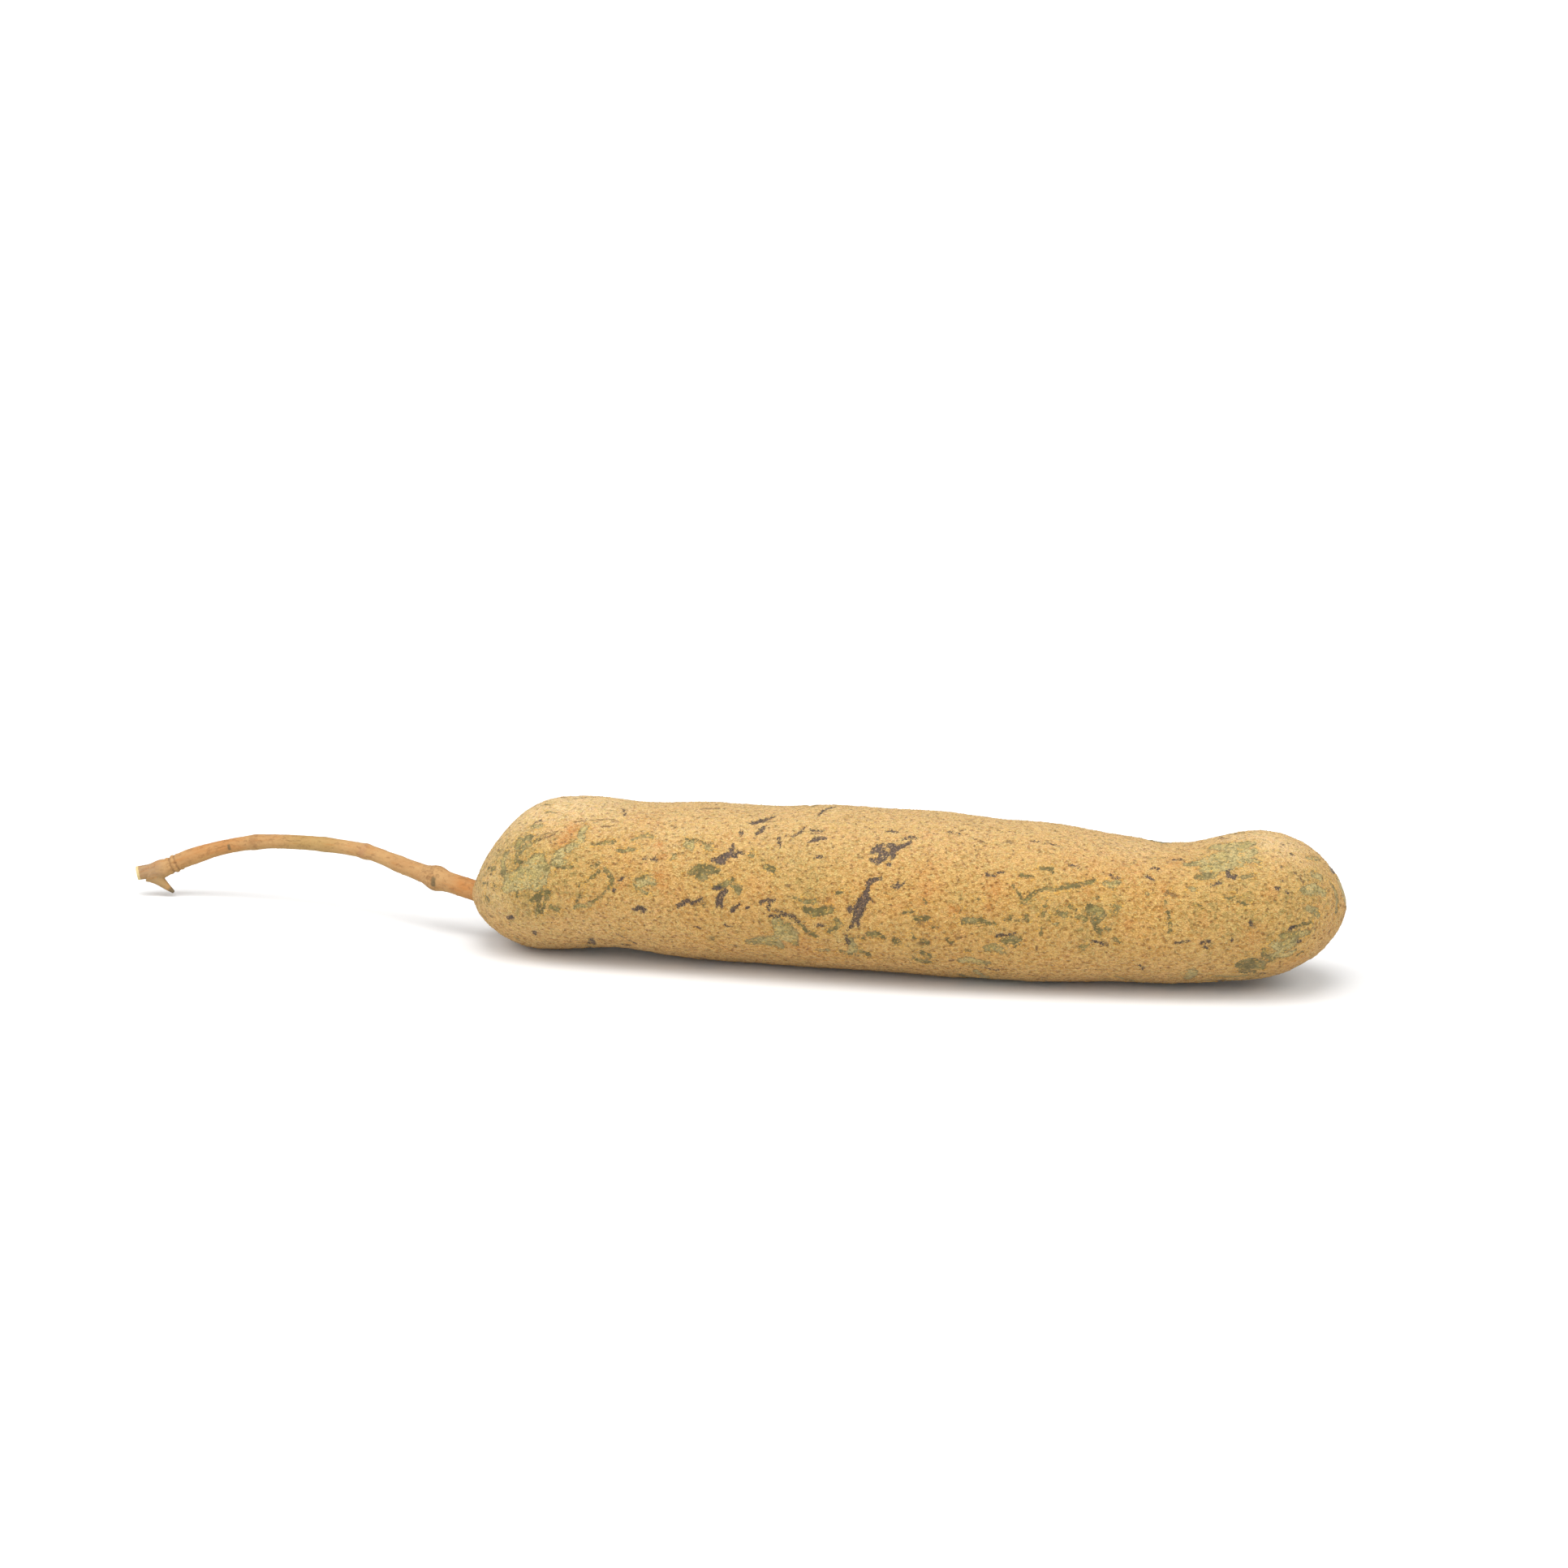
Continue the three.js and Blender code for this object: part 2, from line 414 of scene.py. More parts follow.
def podRingPlaces(count, samples=4000):
    # rings spaced evenly over the skin, so the rounded ends get as many as the sides
    stalkEndCap, farEndCap, length = (podShape[name] for name in ("stalkEndCap", "farEndCap", "length"))
    along = np.concatenate([
        stalkEndCap * np.linspace(0, 1, samples)**3,
        np.linspace(stalkEndCap, length - farEndCap, samples)[1:],
        length - farEndCap * np.linspace(1, 0, samples)[1:]**3,
    ])
    radius = sectionShare(along) * podShape["usualRadius"]
    travelled = np.concatenate([[0], np.cumsum(np.hypot(np.diff(along), np.diff(radius)))])
    wanted = np.linspace(0, travelled[-1], count + 2)[1:-1]
    return np.interp(wanted, travelled, along)


def makePodSkin():
    rings, sides = podShape["rings"], podShape["sides"]
    places = podRingPlaces(rings)
    along, around = np.meshgrid(places, np.linspace(0, 2 * np.pi, sides, endpoint=False), indexing="ij")
    startTip = podPoints(np.array([0.0]), np.array([0.0]))
    endTip = podPoints(np.array([podShape["length"]]), np.array([0.0]))
    return gridMesh("podSkin", podPoints(along, around), rings, sides, startTip, endTip)


# The marks on the rind. Each brush line is a list of (column, row, thickness), all in
# image pixels, and is laid on the pod where the camera sees that pixel.

# Dark cracked scars
scarLines = {
    "longScar": [(1085, 1082, 4), (1078, 1083, 5), (1071, 1086, 7), (1069, 1094, 6), (1066, 1101, 7),
                 (1066, 1107, 12), (1061, 1113, 13), (1058, 1120, 13), (1057, 1127, 12), (1054, 1133, 8),
                 (1051, 1138, 5), (1049, 1143, 4), (1044, 1146, 2)],
    "longScarDrop": [(1057, 1133, 4), (1057, 1141, 5)],
    "longScarHook": [(1072, 1107, 3), (1075, 1111, 2)],
    "besideLongScar": [(1046, 1118, 6), (1048, 1122, 8)],
    "clusterTop": [(1075, 1049, 7), (1081, 1043, 8), (1086, 1040, 6)],
    "clusterRight": [(1096, 1040, 8), (1102, 1043, 8), (1100, 1049, 9), (1099, 1056, 6)],
    "clusterMiddle": [(1084, 1046, 8), (1090, 1052, 12), (1085, 1058, 10), (1081, 1063, 5)],
    "clusterLeft": [(1074, 1059, 6), (1082, 1060, 7)],
    "clusterCrumb": [(1094, 1064, 5), (1096, 1065, 4)],
    "clusterTail": [(1104, 1045, 7), (1112, 1041, 7), (1121, 1037, 6)],
    "clusterTailUpper": [(1112, 1033, 3), (1118, 1031, 4), (1123, 1030, 4), (1129, 1032, 3)],
    "clusterSpot": [(1111, 1053, 4)],
    "birdBody": [(878, 1059, 6), (886, 1060, 9), (892, 1055, 10), (898, 1052, 9), (906, 1054, 5)],
    "birdWing": [(901, 1050, 6), (903, 1040, 4)],
    "birdTail": [(905, 1054, 3), (910, 1049, 4), (916, 1051, 3)],
    "birdBelly": [(889, 1062, 6), (893, 1062, 4)],
    "forkedScar": [(893, 1098, 7), (888, 1104, 9), (885, 1110, 7), (882, 1118, 4)],
    "forkedScarLeg": [(888, 1108, 5), (889, 1119, 3)],
    "forkedScarHead": [(878, 1095, 4), (887, 1094, 5)],
    "forkedScarDot": [(883, 1123, 4)],
    "pairedDash": [(835, 1117, 5), (847, 1110, 6)],
    "pairedDashThin": [(852, 1113, 4), (864, 1108, 4)],
    "batScar": [(781, 1122, 5), (788, 1119, 6), (794, 1121, 5), (790, 1125, 4)],
    "obliqueScar": [(902, 1123, 6), (906, 1118, 5), (911, 1114, 3)],
    "stepDots": [(920, 1119, 4), (921, 1119, 4)],
    "stepDash": [(936, 1113, 4), (941, 1110, 4)],
    "underShadeScar": [(927, 1013, 7), (938, 1010, 8), (948, 1007, 4), (955, 1005, 2)],
    "underShadeLeg": [(932, 1027, 4), (938, 1022, 6), (942, 1017, 4)],
    "underShadeDot": [(913, 1026, 6), (914, 1022, 3)],
    "pinDots": [(959, 1031, 4), (960, 1036, 4), (960, 1043, 3)],
    "faintArc": [(968, 1028, 2), (977, 1030, 2), (987, 1024, 3), (993, 1017, 2)],
    "eyebrow": [(999, 1022, 3), (1014, 1023, 3)],
    "eye": [(996, 1036, 3), (1005, 1033, 7), (1012, 1032, 4), (1018, 1031, 3)],
    "edgeStroke": [(1008, 1004, 3), (1016, 996, 5), (1027, 993, 5)],
    "olivePeak": [(1004, 1056, 3), (1010, 1054, 4), (1013, 1056, 3)],
    "shadeDash": [(1091, 1023, 3), (1098, 1022, 4), (1105, 1024, 3)],
    "birdlet": [(1099, 1092, 3), (1104, 1094, 4), (1109, 1092, 3), (1114, 1087, 3)],
    "birdletNeck": [(1106, 1085, 3), (1106, 1093, 4)],
    "crackDash": [(1007, 1141, 4), (1014, 1141, 5)],
    "crackUpper": [(946, 1110, 4), (955, 1109, 4)],
    "crackUpperLeg": [(947, 1113, 4), (946, 1121, 4)],
    "crackLower": [(948, 1129, 4), (958, 1130, 5)],
    "crackLong": [(957, 1121, 4), (965, 1127, 5), (977, 1130, 5), (984, 1137, 3)],
    "greyStem": [(1043, 1155, 4), (1045, 1163, 5)],
    "upperTwig": [(1167, 1023, 2), (1175, 1024, 3), (1182, 1026, 2)],
    "darkRim": [(1228, 1154, 5), (1237, 1153, 4), (1247, 1152, 3), (1253, 1151, 3)],
    "bluntDash": [(1214, 1075, 3), (1218, 1078, 4), (1225, 1078, 4)],
    "bluntDashTwin": [(1231, 1074, 4), (1236, 1074, 3)],
    "lowerDash": [(1215, 1195, 3), (1225, 1197, 4), (1231, 1196, 2)],
    "needleLeft": [(1269, 1034, 2), (1280, 1036, 2)],
    "needleRight": [(1288, 1038, 3), (1299, 1039, 3), (1310, 1041, 2)],
    "shortTick": [(1318, 1064, 4), (1324, 1066, 3), (1330, 1068, 2)],
    "cappedTick": [(1369, 1078, 4), (1374, 1080, 4), (1380, 1082, 3)],
    "ringTick": [(1414, 1079, 5), (1421, 1083, 5)],
    "ringArc": [(1419, 1069, 3), (1424, 1068, 3), (1429, 1071, 3)],
    "neckDash": [(1446, 1058, 3), (1457, 1058, 3)],
    "lowSlash": [(1346, 1160, 3), (1359, 1164, 4), (1367, 1167, 2)],
    "lowTick": [(1448, 1163, 3), (1458, 1161, 3), (1467, 1160, 2)],
    "curl": [(1401, 1189, 2), (1406, 1192, 3), (1409, 1197, 3)],
    "plumMark": [(1513, 1072, 5), (1514, 1078, 6), (1520, 1080, 6), (1523, 1078, 4)],
    "farDash": [(1493, 1089, 4), (1503, 1087, 4)],
    "farDot": [(1574, 1094, 6), (1575, 1094, 6)],
    "farSmallDot": [(1581, 1084, 4), (1582, 1085, 3)],
    "farTick": [(1586, 1098, 3), (1588, 1101, 3)],
    "farUpperTick": [(1579, 1039, 3), (1583, 1040, 3)],
    "farMidTick": [(1590, 1051, 3), (1595, 1052, 3)],
    "comma": [(1540, 1134, 3), (1541, 1139, 4), (1545, 1142, 2)],
    "bunch": [(1481, 1163, 5), (1486, 1161, 5), (1491, 1160, 3)],
    "bunchFoot": [(1485, 1167, 4), (1487, 1169, 4)],
    "bunchSpot": [(1517, 1159, 4), (1518, 1160, 4)],
    "arcHead": [(1590, 1145, 5), (1597, 1142, 3)],
    "arcFoot": [(1601, 1161, 4), (1603, 1161, 4)],
    "bottomDash": [(1550, 1201, 4), (1560, 1201, 4)],
    "topEdgeLine": [(707, 983, 3), (716, 981, 4), (734, 981, 3)],
    "bluntSpot": [(625, 1132, 5), (631, 1131, 5)],
    "inkSpot": [(658, 1149, 5), (659, 1153, 4)],
    "starSpot": [(725, 1164, 3), (729, 1158, 4), (733, 1165, 4), (729, 1163, 5)],
    "flankDot": [(755, 1097, 4), (757, 1096, 4)],
    "leftTick": [(658, 1013, 3), (666, 1010, 3)],
    "barTick": [(768, 995, 4), (770, 1003, 4)],
    "veeDots": [(767, 1081, 3), (763, 1086, 3)],
    "edgeSeamA": [(765, 1165, 3), (776, 1166, 3)],
    "edgeSeamB": [(776, 1161, 3), (785, 1165, 2)],
    "lowFleck": [(760, 1152, 3), (768, 1157, 3)],
    "nightDash": [(892, 1140, 3), (900, 1143, 3)],
    "nightSpot": [(858, 1144, 3), (862, 1144, 3)],
    "twinDots": [(794, 1057, 4), (796, 1058, 4)],
    "twinDotsRight": [(803, 1058, 4), (810, 1059, 4)],
}

# Thin brown scratches, hardly sunk
scratchLines = {
    "longScratch": [(706, 1012, 2), (725, 1010, 2), (741, 1009, 2), (758, 1009, 2), (763, 1012, 2)],
    "shortScratch": [(741, 1018, 3), (756, 1017, 3)],
    "midScratch": [(815, 1014, 2), (825, 1016, 2), (833, 1018, 3)],
    "topScratch": [(862, 996, 3), (875, 995, 3), (887, 995, 3)],
    "veinScratchA": [(666, 1028, 2), (687, 1024, 2)],
    "veinScratchB": [(662, 1036, 2), (682, 1028, 2)],
    "thinUnderShade": [(938, 1013, 2), (955, 1011, 2)],
    "thinEye": [(998, 1026, 2), (1008, 1026, 2)],
    "twigSide": [(1182, 1023, 2), (1190, 1020, 2)],
    "topTickA": [(1228, 1021, 3), (1236, 1024, 2)],
    "topTickB": [(1198, 1031, 3), (1203, 1033, 3)],
    "topTickC": [(1208, 1035, 3), (1216, 1038, 3)],
    "topTickD": [(1201, 1041, 3), (1202, 1047, 3)],
    "shadeTick": [(1036, 1031, 2), (1041, 1030, 2)],
    "bottomLine": [(1280, 1205, 3), (1291, 1207, 3)],
    "lowFlecks": [(1170, 1185, 4), (1176, 1184, 3)],
    "lowFleckB": [(1278, 1166, 3), (1277, 1172, 3)],
    "brownUpper": [(1501, 1032, 3), (1514, 1032, 3)],
    "endTickA": [(1579, 1066, 3), (1579, 1068, 3)],
    "endTickB": [(1595, 1074, 3), (1602, 1080, 3), (1607, 1088, 3)],
    "lowTickB": [(1523, 1097, 3), (1523, 1101, 3)],
    "lowDashB": [(904, 1166, 3), (908, 1166, 3)],
}

# Worn patches where the scurf has come off: tone 0 is pale sage, 1 is dark moss
wornLines = {
    "bandTop": (0.3, [(721, 1018, 9), (717, 1025, 11), (715, 1034, 13), (706, 1041, 12), (699, 1045, 12)]),
    "bandFoot": (0.05, [(692, 1049, 12), (687, 1054, 14), (685, 1061, 15), (694, 1062, 10)]),
    "bandRim": (0.9, [(687, 1068, 5), (697, 1068, 6), (704, 1068, 5)]),
    "flankField": (0.35, [(662, 1060, 22), (655, 1072, 32), (644, 1081, 32), (628, 1088, 24),
                          (621, 1095, 12)]),
    "flankFieldSide": (0.3, [(668, 1070, 22), (666, 1082, 20), (660, 1091, 18)]),
    "shoulder": (0.5, [(636, 1045, 9), (640, 1035, 13), (652, 1031, 11)]),
    "shoulderLine": (0.65, [(637, 1051, 8), (647, 1042, 8), (663, 1034, 5)]),
    "shoulderFoot": (0.45, [(624, 1050, 9), (618, 1061, 11), (619, 1072, 12), (624, 1084, 12)]),
    "shoulderDrop": (0.75, [(635, 1054, 6), (636, 1063, 7), (643, 1062, 5)]),
    "rimStain": (0.85, [(600, 1069, 5), (609, 1069, 6), (604, 1073, 5)]),
    "rimStainLow": (0.6, [(594, 1088, 4), (600, 1088, 4)]),
    "darkTick": (0.95, [(604, 1088, 3), (611, 1093, 4)]),
    "footTick": (0.85, [(595, 1104, 5), (601, 1110, 6)]),
    "shoulderPale": (0.1, [(655, 1018, 8), (666, 1017, 8)]),
    "topLime": (0.4, [(670, 990, 4), (679, 990, 5)]),
    "topLimeLow": (0.35, [(673, 999, 4), (681, 999, 4)]),
    "starTop": (0.85, [(655, 1110, 7), (663, 1104, 11), (673, 1100, 10), (676, 1105, 6)]),
    "starLeg": (0.85, [(663, 1106, 9), (663, 1116, 7), (663, 1124, 7), (660, 1127, 5)]),
    "starLegRight": (0.8, [(672, 1108, 6), (669, 1117, 4), (668, 1125, 5)]),
    "starSide": (0.6, [(678, 1119, 8), (687, 1122, 8)]),
    "starCrumb": (0.7, [(635, 1098, 4), (636, 1106, 4)]),
    "lowEdge": (0.8, [(596, 1131, 4), (600, 1136, 4)]),
    "lowPale": (0.3, [(633, 1156, 5), (639, 1159, 5)]),
    "loopLine": (0.8, [(711, 1092, 3), (722, 1086, 3), (733, 1078, 5), (739, 1073, 5)]),
    "loopKnob": (0.9, [(729, 1066, 4), (733, 1068, 5), (739, 1061, 4)]),
    "loop": (0.75, [(745, 1070, 6), (751, 1079, 8), (754, 1086, 6), (751, 1093, 4), (743, 1101, 4),
                    (733, 1110, 5)]),
    "loopLeg": (0.75, [(716, 1099, 4), (713, 1106, 4), (710, 1113, 4)]),
    "loopFoot": (0.4, [(709, 1118, 7), (722, 1116, 7), (729, 1113, 6)]),
    "streakA": (0.6, [(730, 1040, 4), (741, 1039, 5), (747, 1037, 7), (757, 1036, 7)]),
    "streakB": (0.55, [(760, 1047, 5), (769, 1048, 7), (781, 1045, 6)]),
    "streakC": (0.35, [(778, 1034, 4), (788, 1030, 5), (796, 1028, 8), (802, 1030, 7)]),
    "ringPale": (0.35, [(827, 1060, 4), (830, 1055, 6), (833, 1052, 4)]),
    "patchA": (0.3, [(844, 1040, 8), (850, 1039, 13), (851, 1045, 8)]),
    "patchARim": (0.85, [(844, 1033, 4), (856, 1034, 5), (866, 1038, 3), (878, 1038, 4)]),
    "patchB": (0.3, [(869, 1043, 7), (877, 1046, 8)]),
    "speckledA": (0.8, [(782, 1084, 5), (792, 1081, 5), (793, 1088, 4)]),
    "speckledB": (0.45, [(785, 1090, 12), (800, 1083, 12), (804, 1089, 10)]),
    "speckledC": (0.5, [(786, 1097, 6), (797, 1101, 6)]),
    "wingLeft": (0.7, [(848, 1076, 7), (858, 1070, 12), (870, 1071, 15), (884, 1072, 9)]),
    "wingFoot": (0.65, [(860, 1080, 9), (867, 1081, 11)]),
    "greyPatch": (0.55, [(880, 1094, 7), (889, 1091, 9), (895, 1088, 8)]),
    "greenSpotA": (0.85, [(901, 1081, 5), (903, 1086, 6)]),
    "greenSpotB": (0.6, [(904, 1091, 8), (909, 1095, 11), (908, 1101, 7)]),
    "brightDot": (0.9, [(866, 1117, 5), (872, 1117, 5)]),
    "lowStar": (0.85, [(874, 1157, 4), (884, 1156, 4)]),
    "lowStarLeg": (0.8, [(876, 1157, 4), (877, 1163, 3)]),
    "lowVein": (0.7, [(770, 1147, 3), (776, 1147, 3)]),
    "bigPatch": (0.4, [(923, 1162, 11), (937, 1160, 16), (954, 1162, 20), (961, 1167, 14)]),
    "bigPatchStem": (0.3, [(957, 1136, 15), (960, 1144, 19), (964, 1153, 23), (975, 1156, 19)]),
    "bigPatchSide": (0.5, [(970, 1141, 10), (978, 1152, 14), (978, 1164, 11)]),
    "bigPatchTail": (0.75, [(982, 1136, 6), (988, 1142, 7), (994, 1149, 7), (1003, 1153, 9),
                            (1009, 1156, 4)]),
    "spotA": (0.8, [(942, 1067, 8), (952, 1072, 9)]),
    "spotB": (0.5, [(924, 1052, 7), (927, 1054, 6)]),
    "crescent": (0.65, [(992, 1121, 9), (1002, 1125, 12), (1013, 1123, 13), (1023, 1121, 11)]),
    "crescentTop": (0.5, [(984, 1108, 5), (993, 1112, 8), (1003, 1111, 8)]),
    "crescentTick": (0.6, [(976, 1105, 4), (983, 1109, 4)]),
    "smallWing": (0.6, [(1031, 1100, 5), (1038, 1100, 5)]),
    "leafy": (0.6, [(1030, 1134, 8), (1035, 1140, 9), (1031, 1144, 7), (1023, 1146, 7), (1020, 1149, 5)]),
    "mossDash": (0.75, [(1069, 1153, 8), (1078, 1152, 11), (1088, 1155, 8)]),
    "mossDashLeft": (0.7, [(1056, 1156, 4), (1066, 1156, 4)]),
    "boot": (0.4, [(1048, 1158, 8), (1050, 1165, 11), (1052, 1172, 13), (1044, 1175, 10)]),
    "bootSole": (0.9, [(1034, 1172, 5), (1043, 1177, 6), (1056, 1178, 5)]),
    "bootToe": (0.85, [(1061, 1174, 8), (1068, 1177, 10), (1072, 1181, 5)]),
    "roundSpot": (0.85, [(1101, 1159, 7), (1107, 1162, 10)]),
    "dashA": (0.85, [(1113, 1125, 4), (1124, 1124, 4)]),
    "faintLow": (0.4, [(1005, 1172, 5), (1022, 1172, 5)]),
    "slab": (0.75, [(1128, 1132, 8), (1142, 1132, 9)]),
    "slabLow": (0.85, [(1149, 1143, 4), (1159, 1143, 4)]),
    "brightBit": (0.9, [(1139, 1109, 5), (1141, 1112, 5)]),
    "fleckA": (0.8, [(1122, 1151, 4), (1127, 1157, 5)]),
    "fleckB": (0.8, [(1135, 1159, 6), (1142, 1162, 8), (1143, 1165, 4)]),
    "fleckC": (0.85, [(1167, 1158, 6), (1172, 1162, 7)]),
    "sprigTop": (0.85, [(1136, 1175, 9), (1143, 1179, 11)]),
    "sprigLow": (0.75, [(1124, 1182, 5), (1134, 1185, 10), (1145, 1187, 9)]),
    "slabLeft": (0.7, [(1187, 1135, 9), (1198, 1135, 10), (1210, 1135, 9)]),
    "slabRight": (0.7, [(1216, 1138, 7), (1226, 1139, 5)]),
    "midTick": (0.7, [(1184, 1120, 4), (1184, 1125, 4)]),
    "thinTick": (0.95, [(1202, 1107, 3), (1207, 1108, 3)]),
    "darkBit": (0.9, [(1190, 1172, 5), (1195, 1173, 5)]),
    "paleSlab": (0.25, [(1184, 1185, 11), (1195, 1184, 12), (1206, 1187, 11), (1218, 1188, 8)]),
    "oliveLump": (0.5, [(1216, 1170, 11), (1225, 1168, 14), (1235, 1173, 11)]),
    "shield": (0.6, [(1237, 1160, 9), (1247, 1159, 14), (1255, 1161, 10)]),
    "shieldRim": (1.0, [(1250, 1168, 3), (1259, 1161, 4), (1256, 1153, 3)]),
    "shieldRimLeft": (1.0, [(1236, 1162, 3), (1241, 1168, 3)]),
    "dropA": (0.9, [(1239, 1133, 5), (1245, 1129, 5), (1244, 1135, 5)]),
    "dropLink": (0.95, [(1252, 1135, 3), (1260, 1134, 3)]),
    "dropB": (0.9, [(1264, 1130, 6), (1266, 1135, 6)]),
    "veeLeft": (0.8, [(1248, 1090, 4), (1255, 1100, 5), (1260, 1108, 5)]),
    "veeRight": (0.7, [(1261, 1112, 7), (1268, 1106, 8), (1274, 1099, 6), (1285, 1095, 5), (1305, 1095, 5)]),
    "veeRoad": (0.75, [(1305, 1095, 5), (1315, 1092, 7), (1327, 1090, 8), (1340, 1087, 7), (1351, 1084, 4)]),
    "greenDash": (0.85, [(1257, 1078, 5), (1265, 1079, 5), (1275, 1081, 3)]),
    "frond": (0.6, [(1281, 1069, 5), (1289, 1069, 7), (1297, 1069, 5), (1296, 1074, 5)]),
    "dullSpotA": (0.85, [(1317, 1116, 6), (1326, 1121, 4)]),
    "dullSpotB": (0.6, [(1305, 1125, 8), (1313, 1127, 8)]),
    "dullSpotC": (0.75, [(1329, 1130, 8), (1336, 1132, 9)]),
    "dullSpotD": (0.8, [(1352, 1102, 4), (1353, 1106, 5)]),
    "dullSpotE": (0.7, [(1350, 1144, 8), (1355, 1147, 7), (1354, 1152, 5)]),
    "dullSpotF": (0.5, [(1363, 1144, 7), (1366, 1145, 6)]),
    "dullSpotG": (0.6, [(1374, 1116, 5), (1380, 1117, 6), (1374, 1123, 6)]),
    "dullField": (0.65, [(1344, 1121, 15), (1354, 1125, 18), (1350, 1134, 14)]),
    "dullSpotH": (0.75, [(1288, 1116, 5), (1289, 1110, 4)]),
    "dullSpotI": (0.7, [(1283, 1129, 6), (1288, 1124, 6)]),
    "dullSpotJ": (0.35, [(1299, 1138, 6), (1302, 1139, 6)]),
    "dullSpotK": (0.9, [(1283, 1144, 4), (1283, 1152, 5)]),
    "ringEllipse": (0.3, [(1361, 1087, 7), (1371, 1090, 11), (1378, 1086, 7)]),
    "eastSpot": (0.5, [(1412, 1100, 6), (1414, 1102, 6)]),
    "stemTop": (0.85, [(1439, 1097, 4), (1437, 1104, 3), (1435, 1116, 3)]),
    "stemLow": (0.7, [(1439, 1124, 5), (1441, 1133, 5), (1441, 1148, 6)]),
    "lowSpot": (0.7, [(1331, 1168, 6), (1339, 1166, 7), (1333, 1173, 4)]),
    "lowSpotB": (0.6, [(1371, 1156, 5), (1380, 1162, 5)]),
    "neckBand": (0.3, [(1460, 1064, 7), (1472, 1063, 10), (1483, 1060, 14), (1496, 1057, 22)]),
    "crownTop": (0.25, [(1495, 1042, 13), (1509, 1042, 19), (1527, 1041, 21), (1541, 1038, 14)]),
    "crownMiddle": (0.2, [(1502, 1055, 22), (1519, 1053, 25), (1535, 1051, 22), (1544, 1048, 14)]),
    "crownLow": (0.3, [(1485, 1069, 15), (1500, 1068, 17), (1516, 1065, 15), (1527, 1063, 13)]),
    "crownFoot": (0.4, [(1475, 1080, 9), (1488, 1079, 11), (1497, 1077, 8)]),
    "crownSide": (0.35, [(1537, 1059, 9), (1549, 1059, 7), (1553, 1062, 5)]),
    "plumField": (0.45, [(1530, 1080, 6), (1538, 1079, 6), (1544, 1077, 5)]),
    "neckSpot": (0.35, [(1466, 1094, 7), (1472, 1095, 7)]),
    "seam": (0.75, [(1509, 1105, 4), (1522, 1110, 4), (1533, 1113, 4), (1544, 1116, 3)]),
    "seamUpper": (0.6, [(1519, 1103, 4), (1529, 1107, 4)]),
    "westSpot": (0.7, [(1478, 1114, 5), (1481, 1118, 4)]),
    "tipTop": (0.4, [(1612, 1056, 7), (1625, 1057, 8)]),
    "tipGrey": (0.3, [(1619, 1077, 10), (1628, 1080, 11)]),
    "tipField": (0.35, [(1608, 1097, 12), (1621, 1095, 18), (1632, 1100, 12)]),
    "tipEdge": (0.5, [(1641, 1088, 7), (1647, 1099, 8), (1649, 1111, 8), (1648, 1124, 7)]),
    "tipLow": (0.45, [(1614, 1119, 10), (1623, 1123, 11), (1626, 1129, 7)]),
    "arcDark": (0.9, [(1592, 1144, 5), (1603, 1140, 6), (1616, 1137, 5)]),
    "arcUpper": (0.45, [(1581, 1154, 9), (1600, 1152, 11), (1613, 1150, 9)]),
    "arcCore": (0.3, [(1569, 1164, 10), (1581, 1168, 20), (1592, 1163, 18), (1599, 1161, 9)]),
    "arcLeft": (0.7, [(1558, 1171, 6), (1557, 1178, 8), (1567, 1183, 12)]),
    "arcLow": (0.35, [(1572, 1178, 12), (1586, 1178, 11), (1596, 1173, 8)]),
    "arcTail": (0.8, [(1600, 1178, 5), (1606, 1173, 4)]),
    "heelTop": (0.8, [(1526, 1197, 6), (1539, 1192, 10), (1550, 1193, 10), (1558, 1194, 7)]),
    "heelLow": (0.9, [(1527, 1199, 5), (1549, 1200, 5)]),
    "heelEdge": (0.4, [(1544, 1203, 5), (1516, 1205, 6), (1495, 1204, 5)]),
}

# Soft clouds of colour: (column, row, reach in pixels, strength)
mossClouds = [
    (590, 1075, 34, 0.55), (597, 1105, 26, 0.4), (650, 1080, 46, 0.8), (620, 1050, 40, 0.6),
    (640, 1118, 36, 0.4), (700, 1045, 24, 0.4), (705, 1085, 40, 0.4), (745, 1090, 24, 0.35),
    (792, 1092, 22, 0.5), (870, 1078, 26, 0.4), (905, 1092, 20, 0.45), (930, 1060, 26, 0.45),
    (985, 1062, 40, 0.55), (1000, 1095, 34, 0.45), (1035, 1145, 26, 0.4), (960, 1140, 26, 0.35),
    (1130, 1130, 24, 0.4), (1182, 1108, 24, 0.5), (1190, 1070, 22, 0.2), (1128, 1172, 24, 0.3),
    (1230, 1140, 30, 0.35), (1292, 1080, 20, 0.3), (1275, 1120, 24, 0.5), (1310, 1125, 34, 0.42),
    (1345, 1125, 34, 0.45), (1375, 1120, 20, 0.4), (1340, 1160, 24, 0.35), (1440, 1130, 20, 0.3),
    (1475, 1122, 34, 0.4), (1515, 1110, 40, 0.45), (1555, 1125, 54, 0.45), (1500, 1140, 54, 0.35),
    (1600, 1125, 44, 0.4), (1500, 1065, 34, 0.5), (1538, 1085, 24, 0.4), (1595, 1085, 22, 0.3),
    (1622, 1098, 34, 0.55), (1590, 1150, 24, 0.5), (1575, 1172, 26, 0.5), (1540, 1196, 24, 0.5),
]
